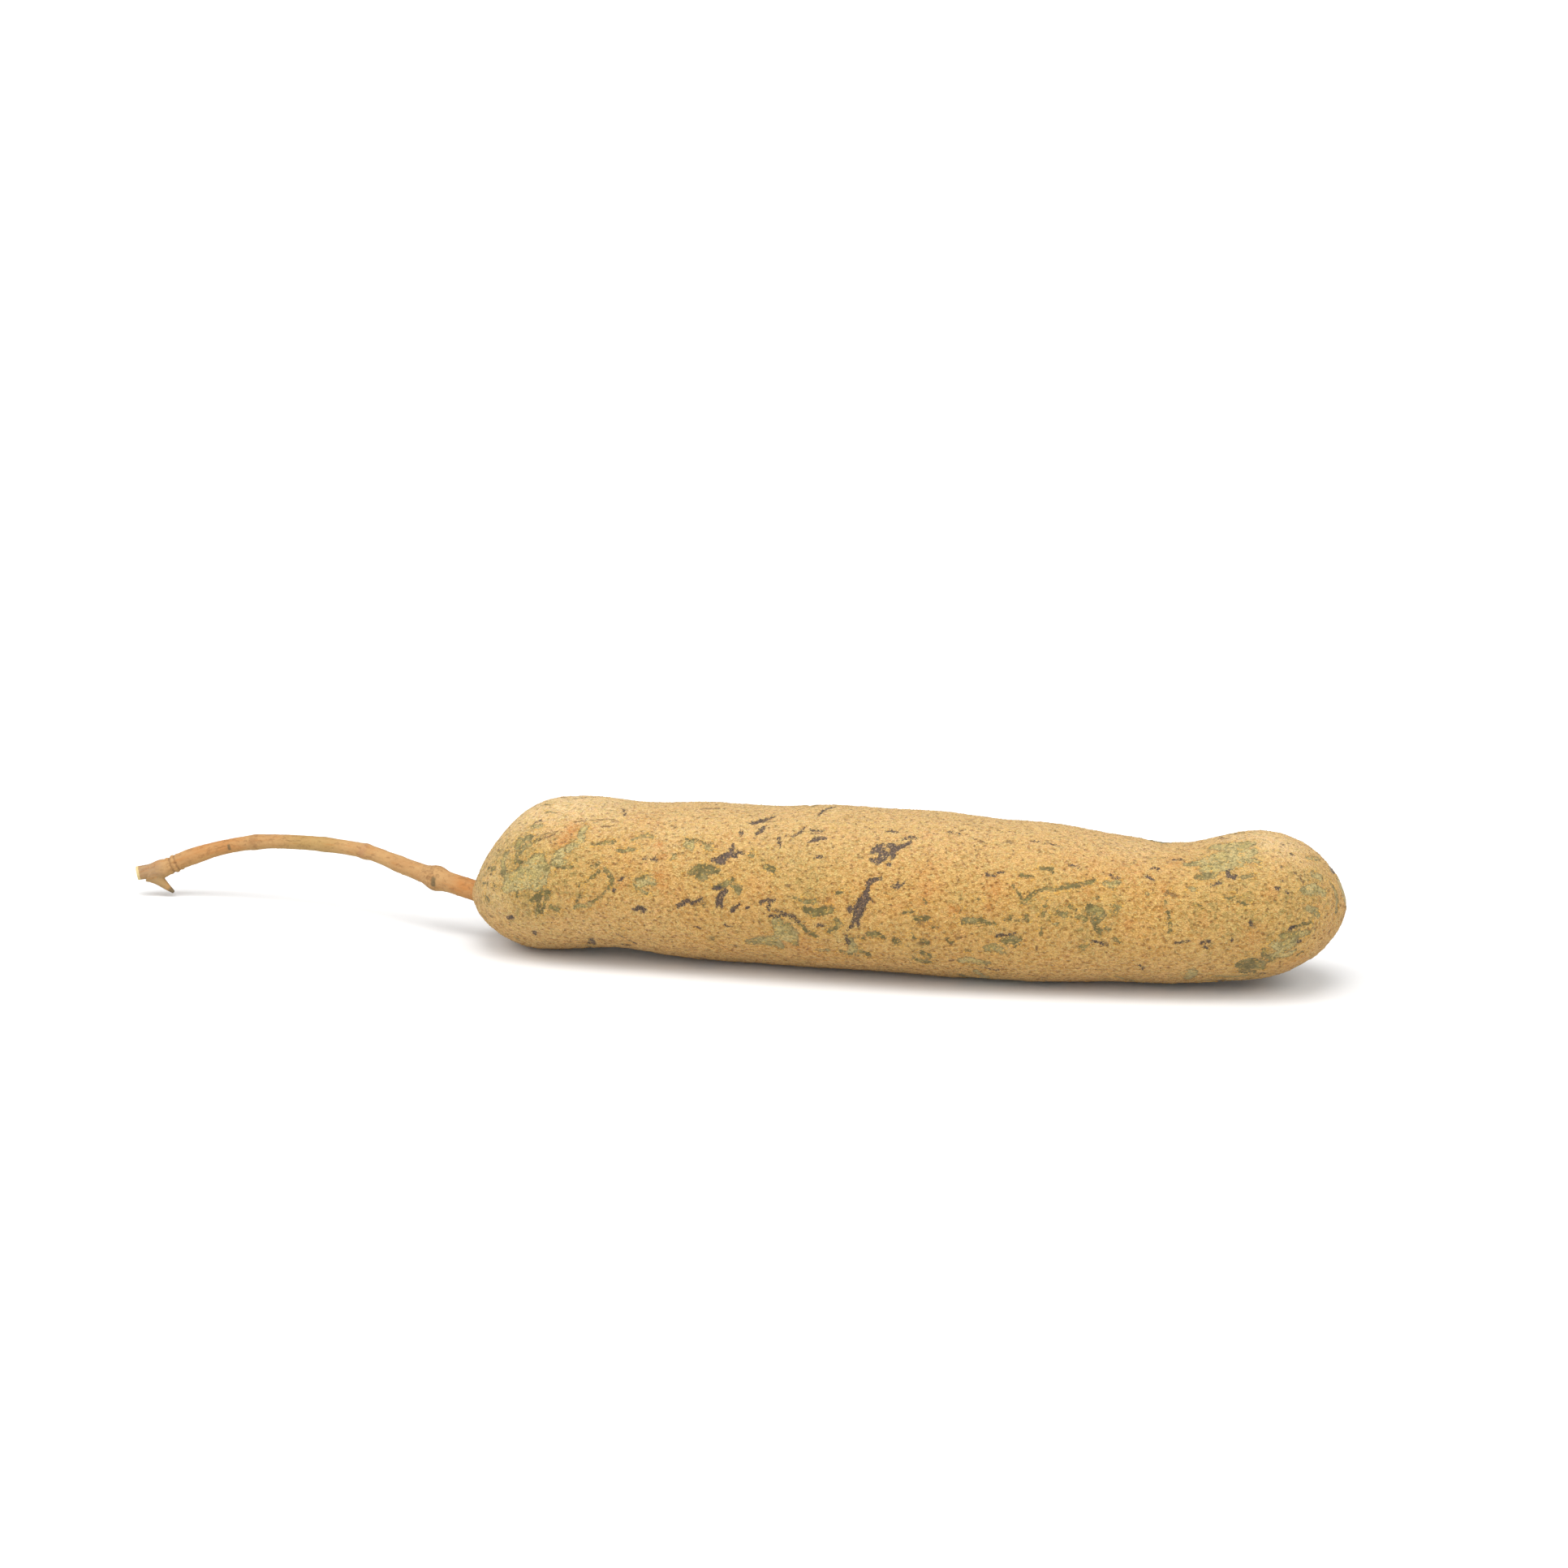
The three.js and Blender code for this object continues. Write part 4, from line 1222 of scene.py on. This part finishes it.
def groundColour(look, point):
    # the scurfy skin
    colours, shares = rindColours, rindShares
    tones, dome, moss, mottle = look["tones"], look["dome"], look["moss"], look["mottle"]
    turning = (look["along"] - goldAlong["from"]) / goldAlong["over"] + look["broad"] - 0.5
    colour = mixColour(rindFade(turning, "along"), colours["tan"], colours["gold"])
    colour = coat(colour, rindNoise(point, "orange"), "orangeFields")
    colour = coat(colour, mottle, "oliveMottle")
    colour = mixColour(capped(moss, "olive"), colour, colours["oliveTan"])
    blush = rindNoise(point, "blush")
    colour = coat(colour, blush, "orangeBlush")
    colour = coat(colour, blush, "greenBlush")
    belly = rindFade(look["height"], "belly")
    # painted light: the pale clouds and the top of the pod are mixed towards a pale colour, standing in for
    # highlights, rim light and floor bounce; it also fills the gaps and pores
    dust = look["pale"] * shares["paleDust"] + rindFade(look["height"], "crown") * shares["crownDust"]
    dust = dust.atMost(shares["mostDust"])
    colour = coatOver(colour, [(belly * shares["belly"], "belly"), (dust, "dust")], colours)
    colour = coat(colour, tones["Red"], "pinkGrains")
    colour = coat(colour, tones["Green"], "greenGrains")
    colour = coat(colour, tones["Blue"], "yellowGrains", dome)
    veil = moss * shares["mossVeil"] + rindFade(look["wornDepth"], "veilEdge") * shares["edgeVeil"]
    veil = capped(veil * rindFade(look["patchy"], "veilPatches"), "veil")
    outsidePaintedLight = 1 - dust * shares["dustedGaps"]
    colour = coatOver(colour, [(veil, "veil"), (look["gap"] * shares["gap"] * outsidePaintedLight, "gap")], colours)
    colour = coat(colour, look["fine"], "fineGaps", outsidePaintedLight)
    colour = coat(colour, look["fine"], "finePale")
    calm = 1 - capped(moss, "calm")
    red = rindFade(mottle, "redMottle") * shares["redMottle"] + look["pits"] * shares["redPits"]
    pits = look["pits"] * (shares["pits"] + belly * shares["bellyPits"])
    pores = look["pore"] * (shares["pores"] + rindFade(mottle, "poreMottle") * shares["mottledPores"])
    colour = coatOver(colour, [
        (look["lump"] * shares["lump"], "paleGrain"),
        (look["red"] * red, "redBrown"),
        (pits * outsidePaintedLight * calm, "gap"),
        (pores * (1 - dust * shares["dustedPores"]) * calm, "pore"),
    ], colours)
    spots = rindNoise(point, "mossSpots") + moss * shares["mossySpots"]
    colour = coat(colour, spots + look["broad"] * shares["broadSpots"], "mossSpots")
    colour = mixColour(look["fleck"] * shares["fleck"], colour, colours["fleck"])
    colour = coat(colour, look["crumb"], "crumbs")
    edgeCrumb = rindFade(look["wornDepth"], "edgeCrumb") * rindFade(tones["Blue"], "edgeTone") * dome
    return mixColour(edgeCrumb * shares["edgeCrumb"], colour, colours["yellowGrain"])


def wornColour(look, point, strands):
    # the green skin under the scurf
    tone = look["wornTone"] + (look["mottle"] - 0.5) * rindShares["mottledTone"]
    colour = mixColour(rindFade(tone, "wornTone"), rindColours["sage"], rindColours["darkMoss"])
    colour = coat(colour, rindNoise(point, "lime"), "limeSpots")
    colour = coat(colour, look["wornDepth"] + look["torn"] * edges["worn"]["torn"], "darkRim")
    colour = coat(colour, look["fine"], "darkFine")
    colour = coat(colour, rindNoise(point, "speckle"), "darkSpeckle")
    return coat(colour, strands, "darkStrands")


def scarColour(look, point):
    mottled = rindFade(rindNoise(point, "scarMottle"), "scarMottle")
    colour = mixColour(mottled, rindColours["scarDark"], rindColours["scar"])
    colour = coat(colour, look["scarDepth"], "scarRim")
    return coat(colour, rindNoise(point, "scarPale"), "scarPale")


def makeRindMaterial():
    material, tree, point = newMaterial("rind")
    look = rindPatterns(tree, point)
    shares = rindShares
    worn, scar, fine = look["worn"], look["scar"], look["fine"]
    strands = rindNoise(point, "strands")
    grainsLeft = rindFade(look["tones"]["Blue"], "grainsLeft") * look["dome"]
    left = rindFade(strands, "strandsLeft") * shares["strandsLeft"] + grainsLeft * shares["grainsLeft"]
    bare = worn * (1 - left.atMost(1.0)) * shares["worn"]
    colour = mixColour(bare, groundColour(look, point), wornColour(look, point, strands))
    colour = mixColour(look["scratch"] * shares["scratch"], colour, rindColours["scratch"])
    islands = rindFade(rindNoise(point, "scarIslands"), "islands") * shares["islands"]
    colour = mixColour(scar * (1 - islands) * shares["scar"], colour, scarColour(look, point))
    colour = colour.node("ShaderNodeHueSaturation", None, {
        "Color": colour, "Saturation": rindFinish["saturation"], "Value": rindFinish["value"]})

    grains = look["dome"] * rindBump["dome"] + look["lump"] * rindBump["lump"]
    grains = grains - look["pore"] * rindBump["pore"]
    relief = (1 - worn * rindBump["wornOff"]) * (1 - scar) * grains - fine * rindBump["fine"]
    relief = relief - look["scratch"] * rindBump["scratch"] + scar * fine * rindBump["fine"]
    finishMaterial(tree, {
        "Base Color": colour,
        "Roughness": rindFinish["rough"] - worn * rindFinish["wornGloss"] - scar * rindFinish["scarGloss"],
        "Specular IOR Level": 0.35,
        "Sheen Weight": rindFinish["sheen"],
        "Sheen Roughness": 0.45,
        "Sheen Tint": tint(255, 240, 210),
        "Normal": addNode(tree, "ShaderNodeBump", None, {"Strength": 1.0, "Distance": mm, "Height": relief}),
    })
    return material


rindMaterial = makeRindMaterial()


stalkShape = {
    "radius": 1.12,
    "footRadius": 1.54,
    "cutRadius": 1.1,
    "footStart": 6,
    "footEnd": 27,
    "cutLength": 5,
    "start": 0.3,  # the sunk end stays clear of the bottom of its socket
    "sides": 72,
    "leastRings": 8,
    "ringSpacing": 0.18,
    "spurRoot": 1.45,
    "spurTip": 0.28,
    "spurTaper": 0.7,
    "voxel": 0.1,
    "smoothing": 0.5,
    "smoothRounds": 5,
    "samples": 60,  # on the smooth curve, for each corner of the path
}

stalkPath = np.array([
    (-31.8, -0.8, 6.5), (-37.5, 1.3, 7.3), (-43.4, 3.9, 7.9), (-49.1, 6.5, 8.7), (-55.2, 8.9, 9.8),
    (-61.5, 10.9, 10.0), (-68.0, 12.4, 9.8), (-74.5, 13.6, 9.2), (-80.6, 14.0, 7.9), (-86.1, 13.5, 6.1),
    (-90.3, 12.6, 4.3), (-94.2, 11.2, 3.6),
])

# distance from the sunk end, extra radius, half length
stalkKnots = [
    (12.2, 0.5, 1.5), (20, 0.08, 1.2), (26.4, 0.16, 0.9), (34, 0.08, 1.1), (46.3, 0.12, 1.3),
    (57.4, 0.2, 3.2), (60.2, 0.14, 0.7), (62.6, 0.34, 1.3),
]

spurPath = np.array([
    (-92.3, 12.0, 3.4), (-91.2, 12.1, 2.7), (-90.2, 12.05, 1.95), (-89.2, 11.9, 1.25), (-88.4, 11.65, 0.8),
])


def smoothPath(path):
    # the smooth curve through the corners, and the distance travelled at each sample
    padded = np.vstack([2 * path[0] - path[1], path, 2 * path[-1] - path[-2]])
    t = np.linspace(0, 1, stalkShape["samples"], endpoint=False)[:, None]
    spans = []
    for k in range(len(path) - 1):
        a, b, c, d = padded[k:k + 4]
        bend = (2 * a - 5 * b + 4 * c - d) * t**2 + (3 * b - a - 3 * c + d) * t**3
        spans.append(b + 0.5 * ((c - a) * t + bend))
    samples = np.vstack([*spans, path[-1:]])
    travelled = np.concatenate([[0], np.cumsum(np.linalg.norm(np.diff(samples, axis=0), axis=1))])
    return samples, travelled


def pathFrames(samples, travelled, along, roughlyUp, step=0.05):
    # middle, side and top directions at each distance
    def at(distance):
        return np.stack([np.interp(distance, travelled, samples[:, k]) for k in range(3)], axis=-1)
    ahead = at(np.minimum(along + step, travelled[-1]))
    run = ahead - at(np.maximum(along - step, 0))
    run /= np.linalg.norm(run, axis=1)[:, None]
    side = np.cross(roughlyUp, run)
    side /= np.linalg.norm(side, axis=1)[:, None]
    return at(along), side, np.cross(run, side)


def stalkRadius(along, length):
    def fade(low, high):
        share = np.clip((along - low) / (high - low), 0, 1)
        return share * share * (3 - 2 * share)
    foot = fade(stalkShape["footStart"], stalkShape["footEnd"])
    cut = fade(length - stalkShape["cutLength"], length)
    radius = stalkShape["footRadius"] + (stalkShape["radius"] - stalkShape["footRadius"]) * foot
    radius = radius + (stalkShape["cutRadius"] - radius) * cut
    for at, rise, reach in stalkKnots:
        radius = radius + rise * np.exp(-((along - at) / reach)**2)
    return radius


def spurRadius(along, length):
    thinned = (along / length)**stalkShape["spurTaper"]
    return stalkShape["spurRoot"] + (stalkShape["spurTip"] - stalkShape["spurRoot"]) * thinned


def rodMesh(name, path, start, radiusAt, roughlyUp):
    samples, travelled = smoothPath(path)
    rings = max(stalkShape["leastRings"], round((travelled[-1] - start) / stalkShape["ringSpacing"]))
    along = np.linspace(start, travelled[-1], rings)
    centres, side, top = pathFrames(samples, travelled, along, roughlyUp)
    around = np.linspace(0, 2 * np.pi, stalkShape["sides"], endpoint=False)
    radius = radiusAt(along, travelled[-1])[:, None, None]
    points = (centres[:, None] + radius * (top[:, None] * np.cos(around)[None, :, None]
                                           + side[:, None] * np.sin(around)[None, :, None]))
    return gridMesh(name, points, rings, stalkShape["sides"], centres[:1], centres[-1:])


def fusedStalk():
    # stalk and spur grown into one skin; up to here it is in millimetres
    rods = [
        rodMesh("stem", stalkPath, stalkShape["start"], stalkRadius, (0, 0, 1)),
        rodMesh("spur", spurPath, 0, spurRadius, (0, 1, 0)),
    ]
    corners = []
    faces = []
    for rod in rods:
        faces += [tuple(len(corners) + k for k in face.vertices) for face in rod.polygons]
        corners += cornersOf(rod).tolist()
    joined = bpy.data.meshes.new("stalk")
    joined.from_pydata(corners, [], faces)
    piece = addObject("stalkDraft", joined)
    remesh = piece.modifiers.new("grown", "REMESH")
    remesh.mode = "VOXEL"
    remesh.voxel_size = stalkShape["voxel"]
    smooth = piece.modifiers.new("eased", "SMOOTH")
    smooth.factor = stalkShape["smoothing"]
    smooth.iterations = stalkShape["smoothRounds"]
    mesh = evaluatedMesh(piece)
    bpy.data.objects.remove(piece)
    return mesh


# The cut end: mm from its face at which a mark starts, mm over which it grows, and the length
# of stalk that can carry it
cutMarks = {
    "cutFace": (0.16, 0.1, 1),
    "cutRim": (0.5, 0.2, 2),  # pale wood left bare
}
chunk = 4000  # corners compared with the path at a time


def markBark(mesh):
    # keeps where each corner lies along and round the stalk, then turns it into metres
    corners = cornerValues(mesh, "co").astype(float)
    samples, travelled = smoothPath(stalkPath)
    _, side, top = pathFrames(samples, travelled, travelled, (0, 0, 1))
    nearest = np.zeros(len(corners), dtype=int)
    for k in range(0, len(corners), chunk):
        gaps = np.linalg.norm(corners[k:k + chunk, None] - samples[None], axis=2)
        nearest[k:k + chunk] = gaps.argmin(axis=1)
    along = travelled[nearest]
    away = corners - samples[nearest]
    angle = np.arctan2(np.sum(away * side[nearest], axis=1), np.sum(away * top[nearest], axis=1))
    keepValues(mesh, "along", along)
    keepValues(mesh, "ringX", np.cos(angle))
    keepValues(mesh, "ringY", np.sin(angle))
    keepValues(mesh, "fromMiddle", np.linalg.norm(away, axis=1))
    ending = samples[-1] - samples[-3]
    ending /= np.linalg.norm(ending)
    beyond = (corners - samples[-1]) @ ending
    for name, (depth, growth, length) in cutMarks.items():
        share = np.clip((beyond + depth) / growth, 0, 1)
        keepValues(mesh, name, share * (along > travelled[-1] - length))
    spurTip = np.linalg.norm(corners - spurPath[-1], axis=1)
    keepValues(mesh, "spurEnd", np.exp(-spurTip**2))
    moveCorners(mesh, corners * mm)


# Heights and depths on the bark, in mm
barkRelief = {
    "Fibre depth": 0.05,
    "Crack depth": 0.04,
    "Ring height": 0.09,
    "Wart height": 0.05,
}
barkInset = 0.01
cutRough = 0.12  # mm between the highest and the lowest of the cut face

barkColours = {
    "bark": tint(198, 150, 98),
    "barkWarm": tint(204, 140, 80),
    "barkPale": tint(210, 166, 112),
    "barkDark": tint(126, 88, 54),
    "olive": tint(178, 152, 88),
    "pink": tint(186, 138, 108),
    "grey": tint(174, 144, 112),
    "mark": tint(88, 84, 58),
    "cut": tint(242, 220, 160),
    "cutHeart": tint(214, 178, 120),
    "tip": tint(92, 84, 62),
}

# places along the stalk, from its sunk end: (middle, half length)
barkPlaces = {
    "warmFoot": (5, 3.5),
    "knuckle": (12.6, 1.6),
    "knuckleMark": (11.3, 0.42),
    "pinkRing": (26.3, 0.7),
    "oliveStretch": (36, 5.5),
    "bend": (46.3, 0.8),
    "armMark": (50.6, 0.3),
    "warmArm": (53, 5),
    "ridges": (60.4, 1.3),
    "stub": (65.0, 3.2),
}
placeEdge = (0.35, 1.3)  # shares of the half length between which a place fades out
ridgePitch = 0.9  # mm between the cross ridges near the fork

# strength and colour of the tinted places
barkTints = {
    "warmFoot": (0.9, "barkWarm"),
    "warmArm": (0.6, "barkWarm"),
    "oliveStretch": (0.5, "olive"),
    "pinkRing": (0.35, "pink"),
    "bend": (0.25, "barkDark"),
    "stub": (0.75, "grey"),
}

# Noises on the unrolled bark: share of their size along it, scale, detail, roughness, shift
barkNoises = {
    "fibre": (0.35, 3.2, 3, 0.6, 0.0),
    "crack": (0.5, 2.1, 2, 0.5, 6.0),
    "streak": (0.12, 2.2, 3, 0.65, 33.0),
    "cutRings": (0.0, 3.0, 2, 0.5, 0.0),
}
# Noises on the piece itself: scale, detail, roughness, shift
barkSpots = {
    "blotch": (0.35, 3, 0.6, 3.0),
    "speck": (2.6, 2, 0.6, 15.0),
}
wartScale = 0.9
# Values of a pattern between which its mask rises; with the higher one first it falls
barkFades = {
    "crack": (0.56, 0.66),
    "wart": (0.26, 0.1),
    "blotch": (0.35, 0.65),
    "facing": (0.86, 0.96),
    "knuckleSpecks": (0.42, 0.6),
    "heart": (0.4, 0.12),  # mm from the middle of the cut
    "cutFace": (0.3, 0.7),
}
# Coats: start and end of the fade, strength and colour
barkCoats = {
    "paleStreaks": (0.42, 0.66, 0.45, "barkPale"),
    "warmStreaks": (0.46, 0.34, 0.4, "barkWarm"),
    "underside": (0.0, 0.9, 0.3, "olive"),
    "specks": (0.56, 0.72, 0.16, "barkDark"),
    "ridgeGaps": (0.2, 0.9, 0.45, "barkDark"),
    "spurEnd": (0.2, 0.7, 0.8, "tip"),
    "cutRim": (0.3, 0.6, 0.8, "cut"),
}
barkShares = {"crack": 0.2, "warts": 0.2, "knuckle": 0.35, "marks": 0.7, "heart": 0.7}
barkBump = {"fibre": 0.07, "speck": 0.04, "crack": 0.05}  # mm
ridgeSway = 0.4  # mm that a ridge wanders along the stalk
barkFinish = {"saturation": 1.04, "value": 0.65, "rough": 0.66, "speckRough": 0.2}


def barkPoint(tree, lengthwise):
    # a point unrolled from the stalk: lengthwise slows the pattern along it
    return addNode(tree, "ShaderNodeCombineXYZ", None, {
        "X": storedValue(tree, "along") * lengthwise,
        "Y": storedValue(tree, "ringX"),
        "Z": storedValue(tree, "ringY"),
    })


def barkNoise(tree, name):
    lengthwise, *values = barkNoises[name]
    return noiseAt(barkPoint(tree, lengthwise), *values)


def placeMask(tree, name):
    middle, half = barkPlaces[name]
    away = storedValue(tree, "along") - middle
    far = away.node("ShaderNodeMath", {"operation": "ABSOLUTE"}, {0: away})
    return 1 - far.fade(half * placeEdge[0], half * placeEdge[1])


def barkFade(pattern, name):
    return pattern.fade(*barkFades[name])


def barkCoat(pattern, name):
    start, full, strength, over = barkCoats[name]
    return pattern.fade(start, full) * strength, over


def barkWaves(tree):
    fibre = barkNoise(tree, "fibre")
    crack = barkFade(barkNoise(tree, "crack"), "crack")
    turn = (storedValue(tree, "along") + fibre * ridgeSway) * (2 * math.pi / ridgePitch)
    ridges = placeMask(tree, "ridges") * turn.node("ShaderNodeMath", {"operation": "SINE"}, {0: turn})
    warts = barkFade(cellsAt(barkPoint(tree, 1.0), wartScale)["Distance"], "wart")
    return fibre, crack, ridges, warts


def makeBarkTree(material):
    tree, given = geometryTree("barkRelief", barkRelief)
    fibre, crack, ridges, warts = barkWaves(tree)
    rise = (fibre - 0.5) * given["Fibre depth"] * 2 - crack * given["Crack depth"] - barkInset
    rise = rise + ridges * given["Ring height"] + warts * given["Wart height"]
    cutFace = storedValue(tree, "cutFace")
    rise = rise * (1 - cutFace) + cutFace * (barkNoise(tree, "cutRings") - 0.5) * cutRough
    pushOut(tree, given, rise, material)
    return tree


def makeBarkMaterial():
    material, tree, point = newMaterial("bark")
    colours = barkColours
    fibre, crack, ridges, warts = barkWaves(tree)
    blotch, speck = (noiseAt(point, *barkSpots[name]) for name in ("blotch", "speck"))
    streak = barkNoise(tree, "streak")
    facing = barkFade(storedValue(tree, "ringY"), "facing") * barkShares["marks"]
    knuckle = placeMask(tree, "knuckle") * barkFade(speck, "knuckleSpecks") * barkShares["knuckle"]
    colour = mixColour(barkFade(blotch, "blotch"), colours["bark"], colours["barkPale"])
    coats = [(placeMask(tree, place) * strength, name) for place, (strength, name) in barkTints.items()]
    coats += [
        barkCoat(streak, "paleStreaks"),
        barkCoat(streak, "warmStreaks"),
        barkCoat(storedValue(tree, "ringX") * -1, "underside"),
        barkCoat(speck, "specks"),
        (crack * barkShares["crack"], "barkDark"),
        barkCoat(ridges * -1, "ridgeGaps"),
        (warts * barkShares["warts"], "barkPale"),
        (knuckle, "barkDark"),
        (placeMask(tree, "knuckleMark") * facing, "mark"),
        (placeMask(tree, "armMark") * facing, "mark"),
        barkCoat(storedValue(tree, "spurEnd"), "spurEnd"),
        barkCoat(storedValue(tree, "cutRim") + speck - 0.5, "cutRim"),
    ]
    colour = coatOver(colour, coats, colours)
    heart = barkFade(storedValue(tree, "fromMiddle"), "heart") * barkShares["heart"]
    cutColour = mixColour(heart, colours["cut"], colours["cutHeart"])
    colour = mixColour(barkFade(storedValue(tree, "cutFace"), "cutFace"), colour, cutColour)
    colour = colour.node("ShaderNodeHueSaturation", None, {
        "Color": colour, "Saturation": barkFinish["saturation"], "Value": barkFinish["value"]})
    relief = fibre * barkBump["fibre"] + speck * barkBump["speck"] - crack * barkBump["crack"]
    finishMaterial(tree, {
        "Base Color": colour,
        "Roughness": barkFinish["rough"] + speck * barkFinish["speckRough"],
        "Specular IOR Level": 0.4,
        "Normal": addNode(tree, "ShaderNodeBump", None, {"Strength": 0.8, "Distance": mm, "Height": relief}),
    })
    return material


barkMaterial = makeBarkMaterial()


def raiseCollar(mesh):
    # the rind stands up a little round the stalk and dips where it goes in
    corners = cornersOf(mesh)
    samples, travelled = smoothPath(stalkPath)
    samples = samples[travelled < podShape["collarAlong"]]
    near = np.flatnonzero(np.linalg.norm(corners - samples[0], axis=1) < podShape["collarReach"])
    gap = np.linalg.norm(corners[near, None] - samples[None], axis=2).min(axis=1)
    lip = np.exp(-((gap - podShape["collarRadius"]) / podShape["collarWidth"])**2)
    corners[near] += cornerValues(mesh, "normal")[near] * (podShape["collarRise"] * lip)[:, None]
    moveCorners(mesh, corners * mm)


def keepAboveTable(mesh, lowest=0.01):
    corners = cornerValues(mesh, "co")
    corners[:, 2] = np.maximum(corners[:, 2], lowest * mm)
    moveCorners(mesh, corners)


def dress(piece, tree, values):
    # gives the piece the mesh that the tree makes of it
    mesh = runTree(piece, tree, values)
    keepAboveTable(mesh)
    mesh.shade_smooth()
    piece.data = mesh
    return mesh


skinMesh = makePodSkin()
raiseCollar(skinMesh)
print("stage: pod skin", len(skinMesh.polygons), "faces")
markSkin(skinMesh)
print("stage: marks laid on the skin")

skinObject = addObject("podRind", skinMesh)
podMesh = dress(skinObject, makeReliefTree(rindMaterial), podRelief)
print("stage: rind relief")

crumbObject = addObject("podScurf", podMesh)
crumbMesh = dress(crumbObject, makeScurfTree(rindMaterial), scurfCrumbs)
print("stage: scurf crumbs", len(crumbMesh.polygons), "faces")

barkMesh = fusedStalk()
markBark(barkMesh)
barkObject = addObject("stalkBark", barkMesh)
barkMesh = dress(barkObject, makeBarkTree(barkMaterial), barkRelief)
print("stage: stalk", len(barkMesh.polygons), "faces")

# Table and light; leans and spreads in degrees
setting = {
    "tableSize": 24.0,  # metres
    "tableNear": tint(226, 226, 226),
    "tableFar": tint(236, 236, 236),
    "tableFade": (-100, 500),  # mm from front to back between which its tone changes; the lighter back is a painted light falloff
    "lampStrengths": (0.95, 1.45, 0.95),  # left, middle and right of a long row overhead
    "lampLean": 46.0,
    "lampSpread": 36.0,
    "lampForward": 10.0,
    "fillStrength": 1.5,
    "fillLean": 60.0,  # down from straight overhead, from the front
    "fillSpread": 70.0,
    "skyStrength": 0.58,
}


def makeTable():
    half = setting["tableSize"] / 2
    corners = [(-half, -half, 0), (half, -half, 0), (half, half, 0), (-half, half, 0)]
    mesh = bpy.data.meshes.new("table")
    mesh.from_pydata(corners, [], [(0, 1, 2, 3)])
    material, tree, point = newMaterial("tabletop")
    back = addNode(tree, "ShaderNodeSeparateXYZ", None, {0: point})["Y"]
    # painted light falloff: the table is lighter towards the back
    colour = mixColour(back.fade(*setting["tableFade"]), setting["tableNear"], setting["tableFar"])
    finishMaterial(tree, {"Base Color": colour, "Roughness": 0.9, "Specular IOR Level": 0.1})
    mesh.materials.append(material)
    return addObject("table", mesh)


def addLamp(name, strength, spread, forward, sideways):
    data = bpy.data.lights.new(name, "SUN")
    data.energy = strength
    data.angle = math.radians(spread)
    lamp = bpy.data.objects.new(name, data)
    lamp.rotation_euler = (math.radians(forward), math.radians(sideways), 0)
    bpy.context.scene.collection.objects.link(lamp)


def lightScene():
    for k, strength in enumerate(setting["lampStrengths"]):
        sideways = (k - 1) * setting["lampLean"]
        addLamp(f"overhead{k}", strength, setting["lampSpread"], setting["lampForward"], sideways)
    addLamp("frontFill", setting["fillStrength"], setting["fillSpread"], setting["fillLean"], 0)
    world = bpy.data.worlds.new("softRoom")
    world.use_nodes = True
    world.node_tree.nodes.clear()
    sky = addNode(world.node_tree, "ShaderNodeBackground", None,
                  {"Color": (1.0, 1.0, 1.0, 1.0), "Strength": setting["skyStrength"]})
    addNode(world.node_tree, "ShaderNodeOutputWorld", None, {"Surface": sky})
    bpy.context.scene.world = world


table = makeTable()
lightScene()
bpy.context.scene.view_settings.view_transform = "Standard"

for piece, slot in ((skinObject, "rind"), (crumbObject, "rind"), (barkObject, "bark")):
    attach(piece, "root")
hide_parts("pod")
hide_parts("stalk")
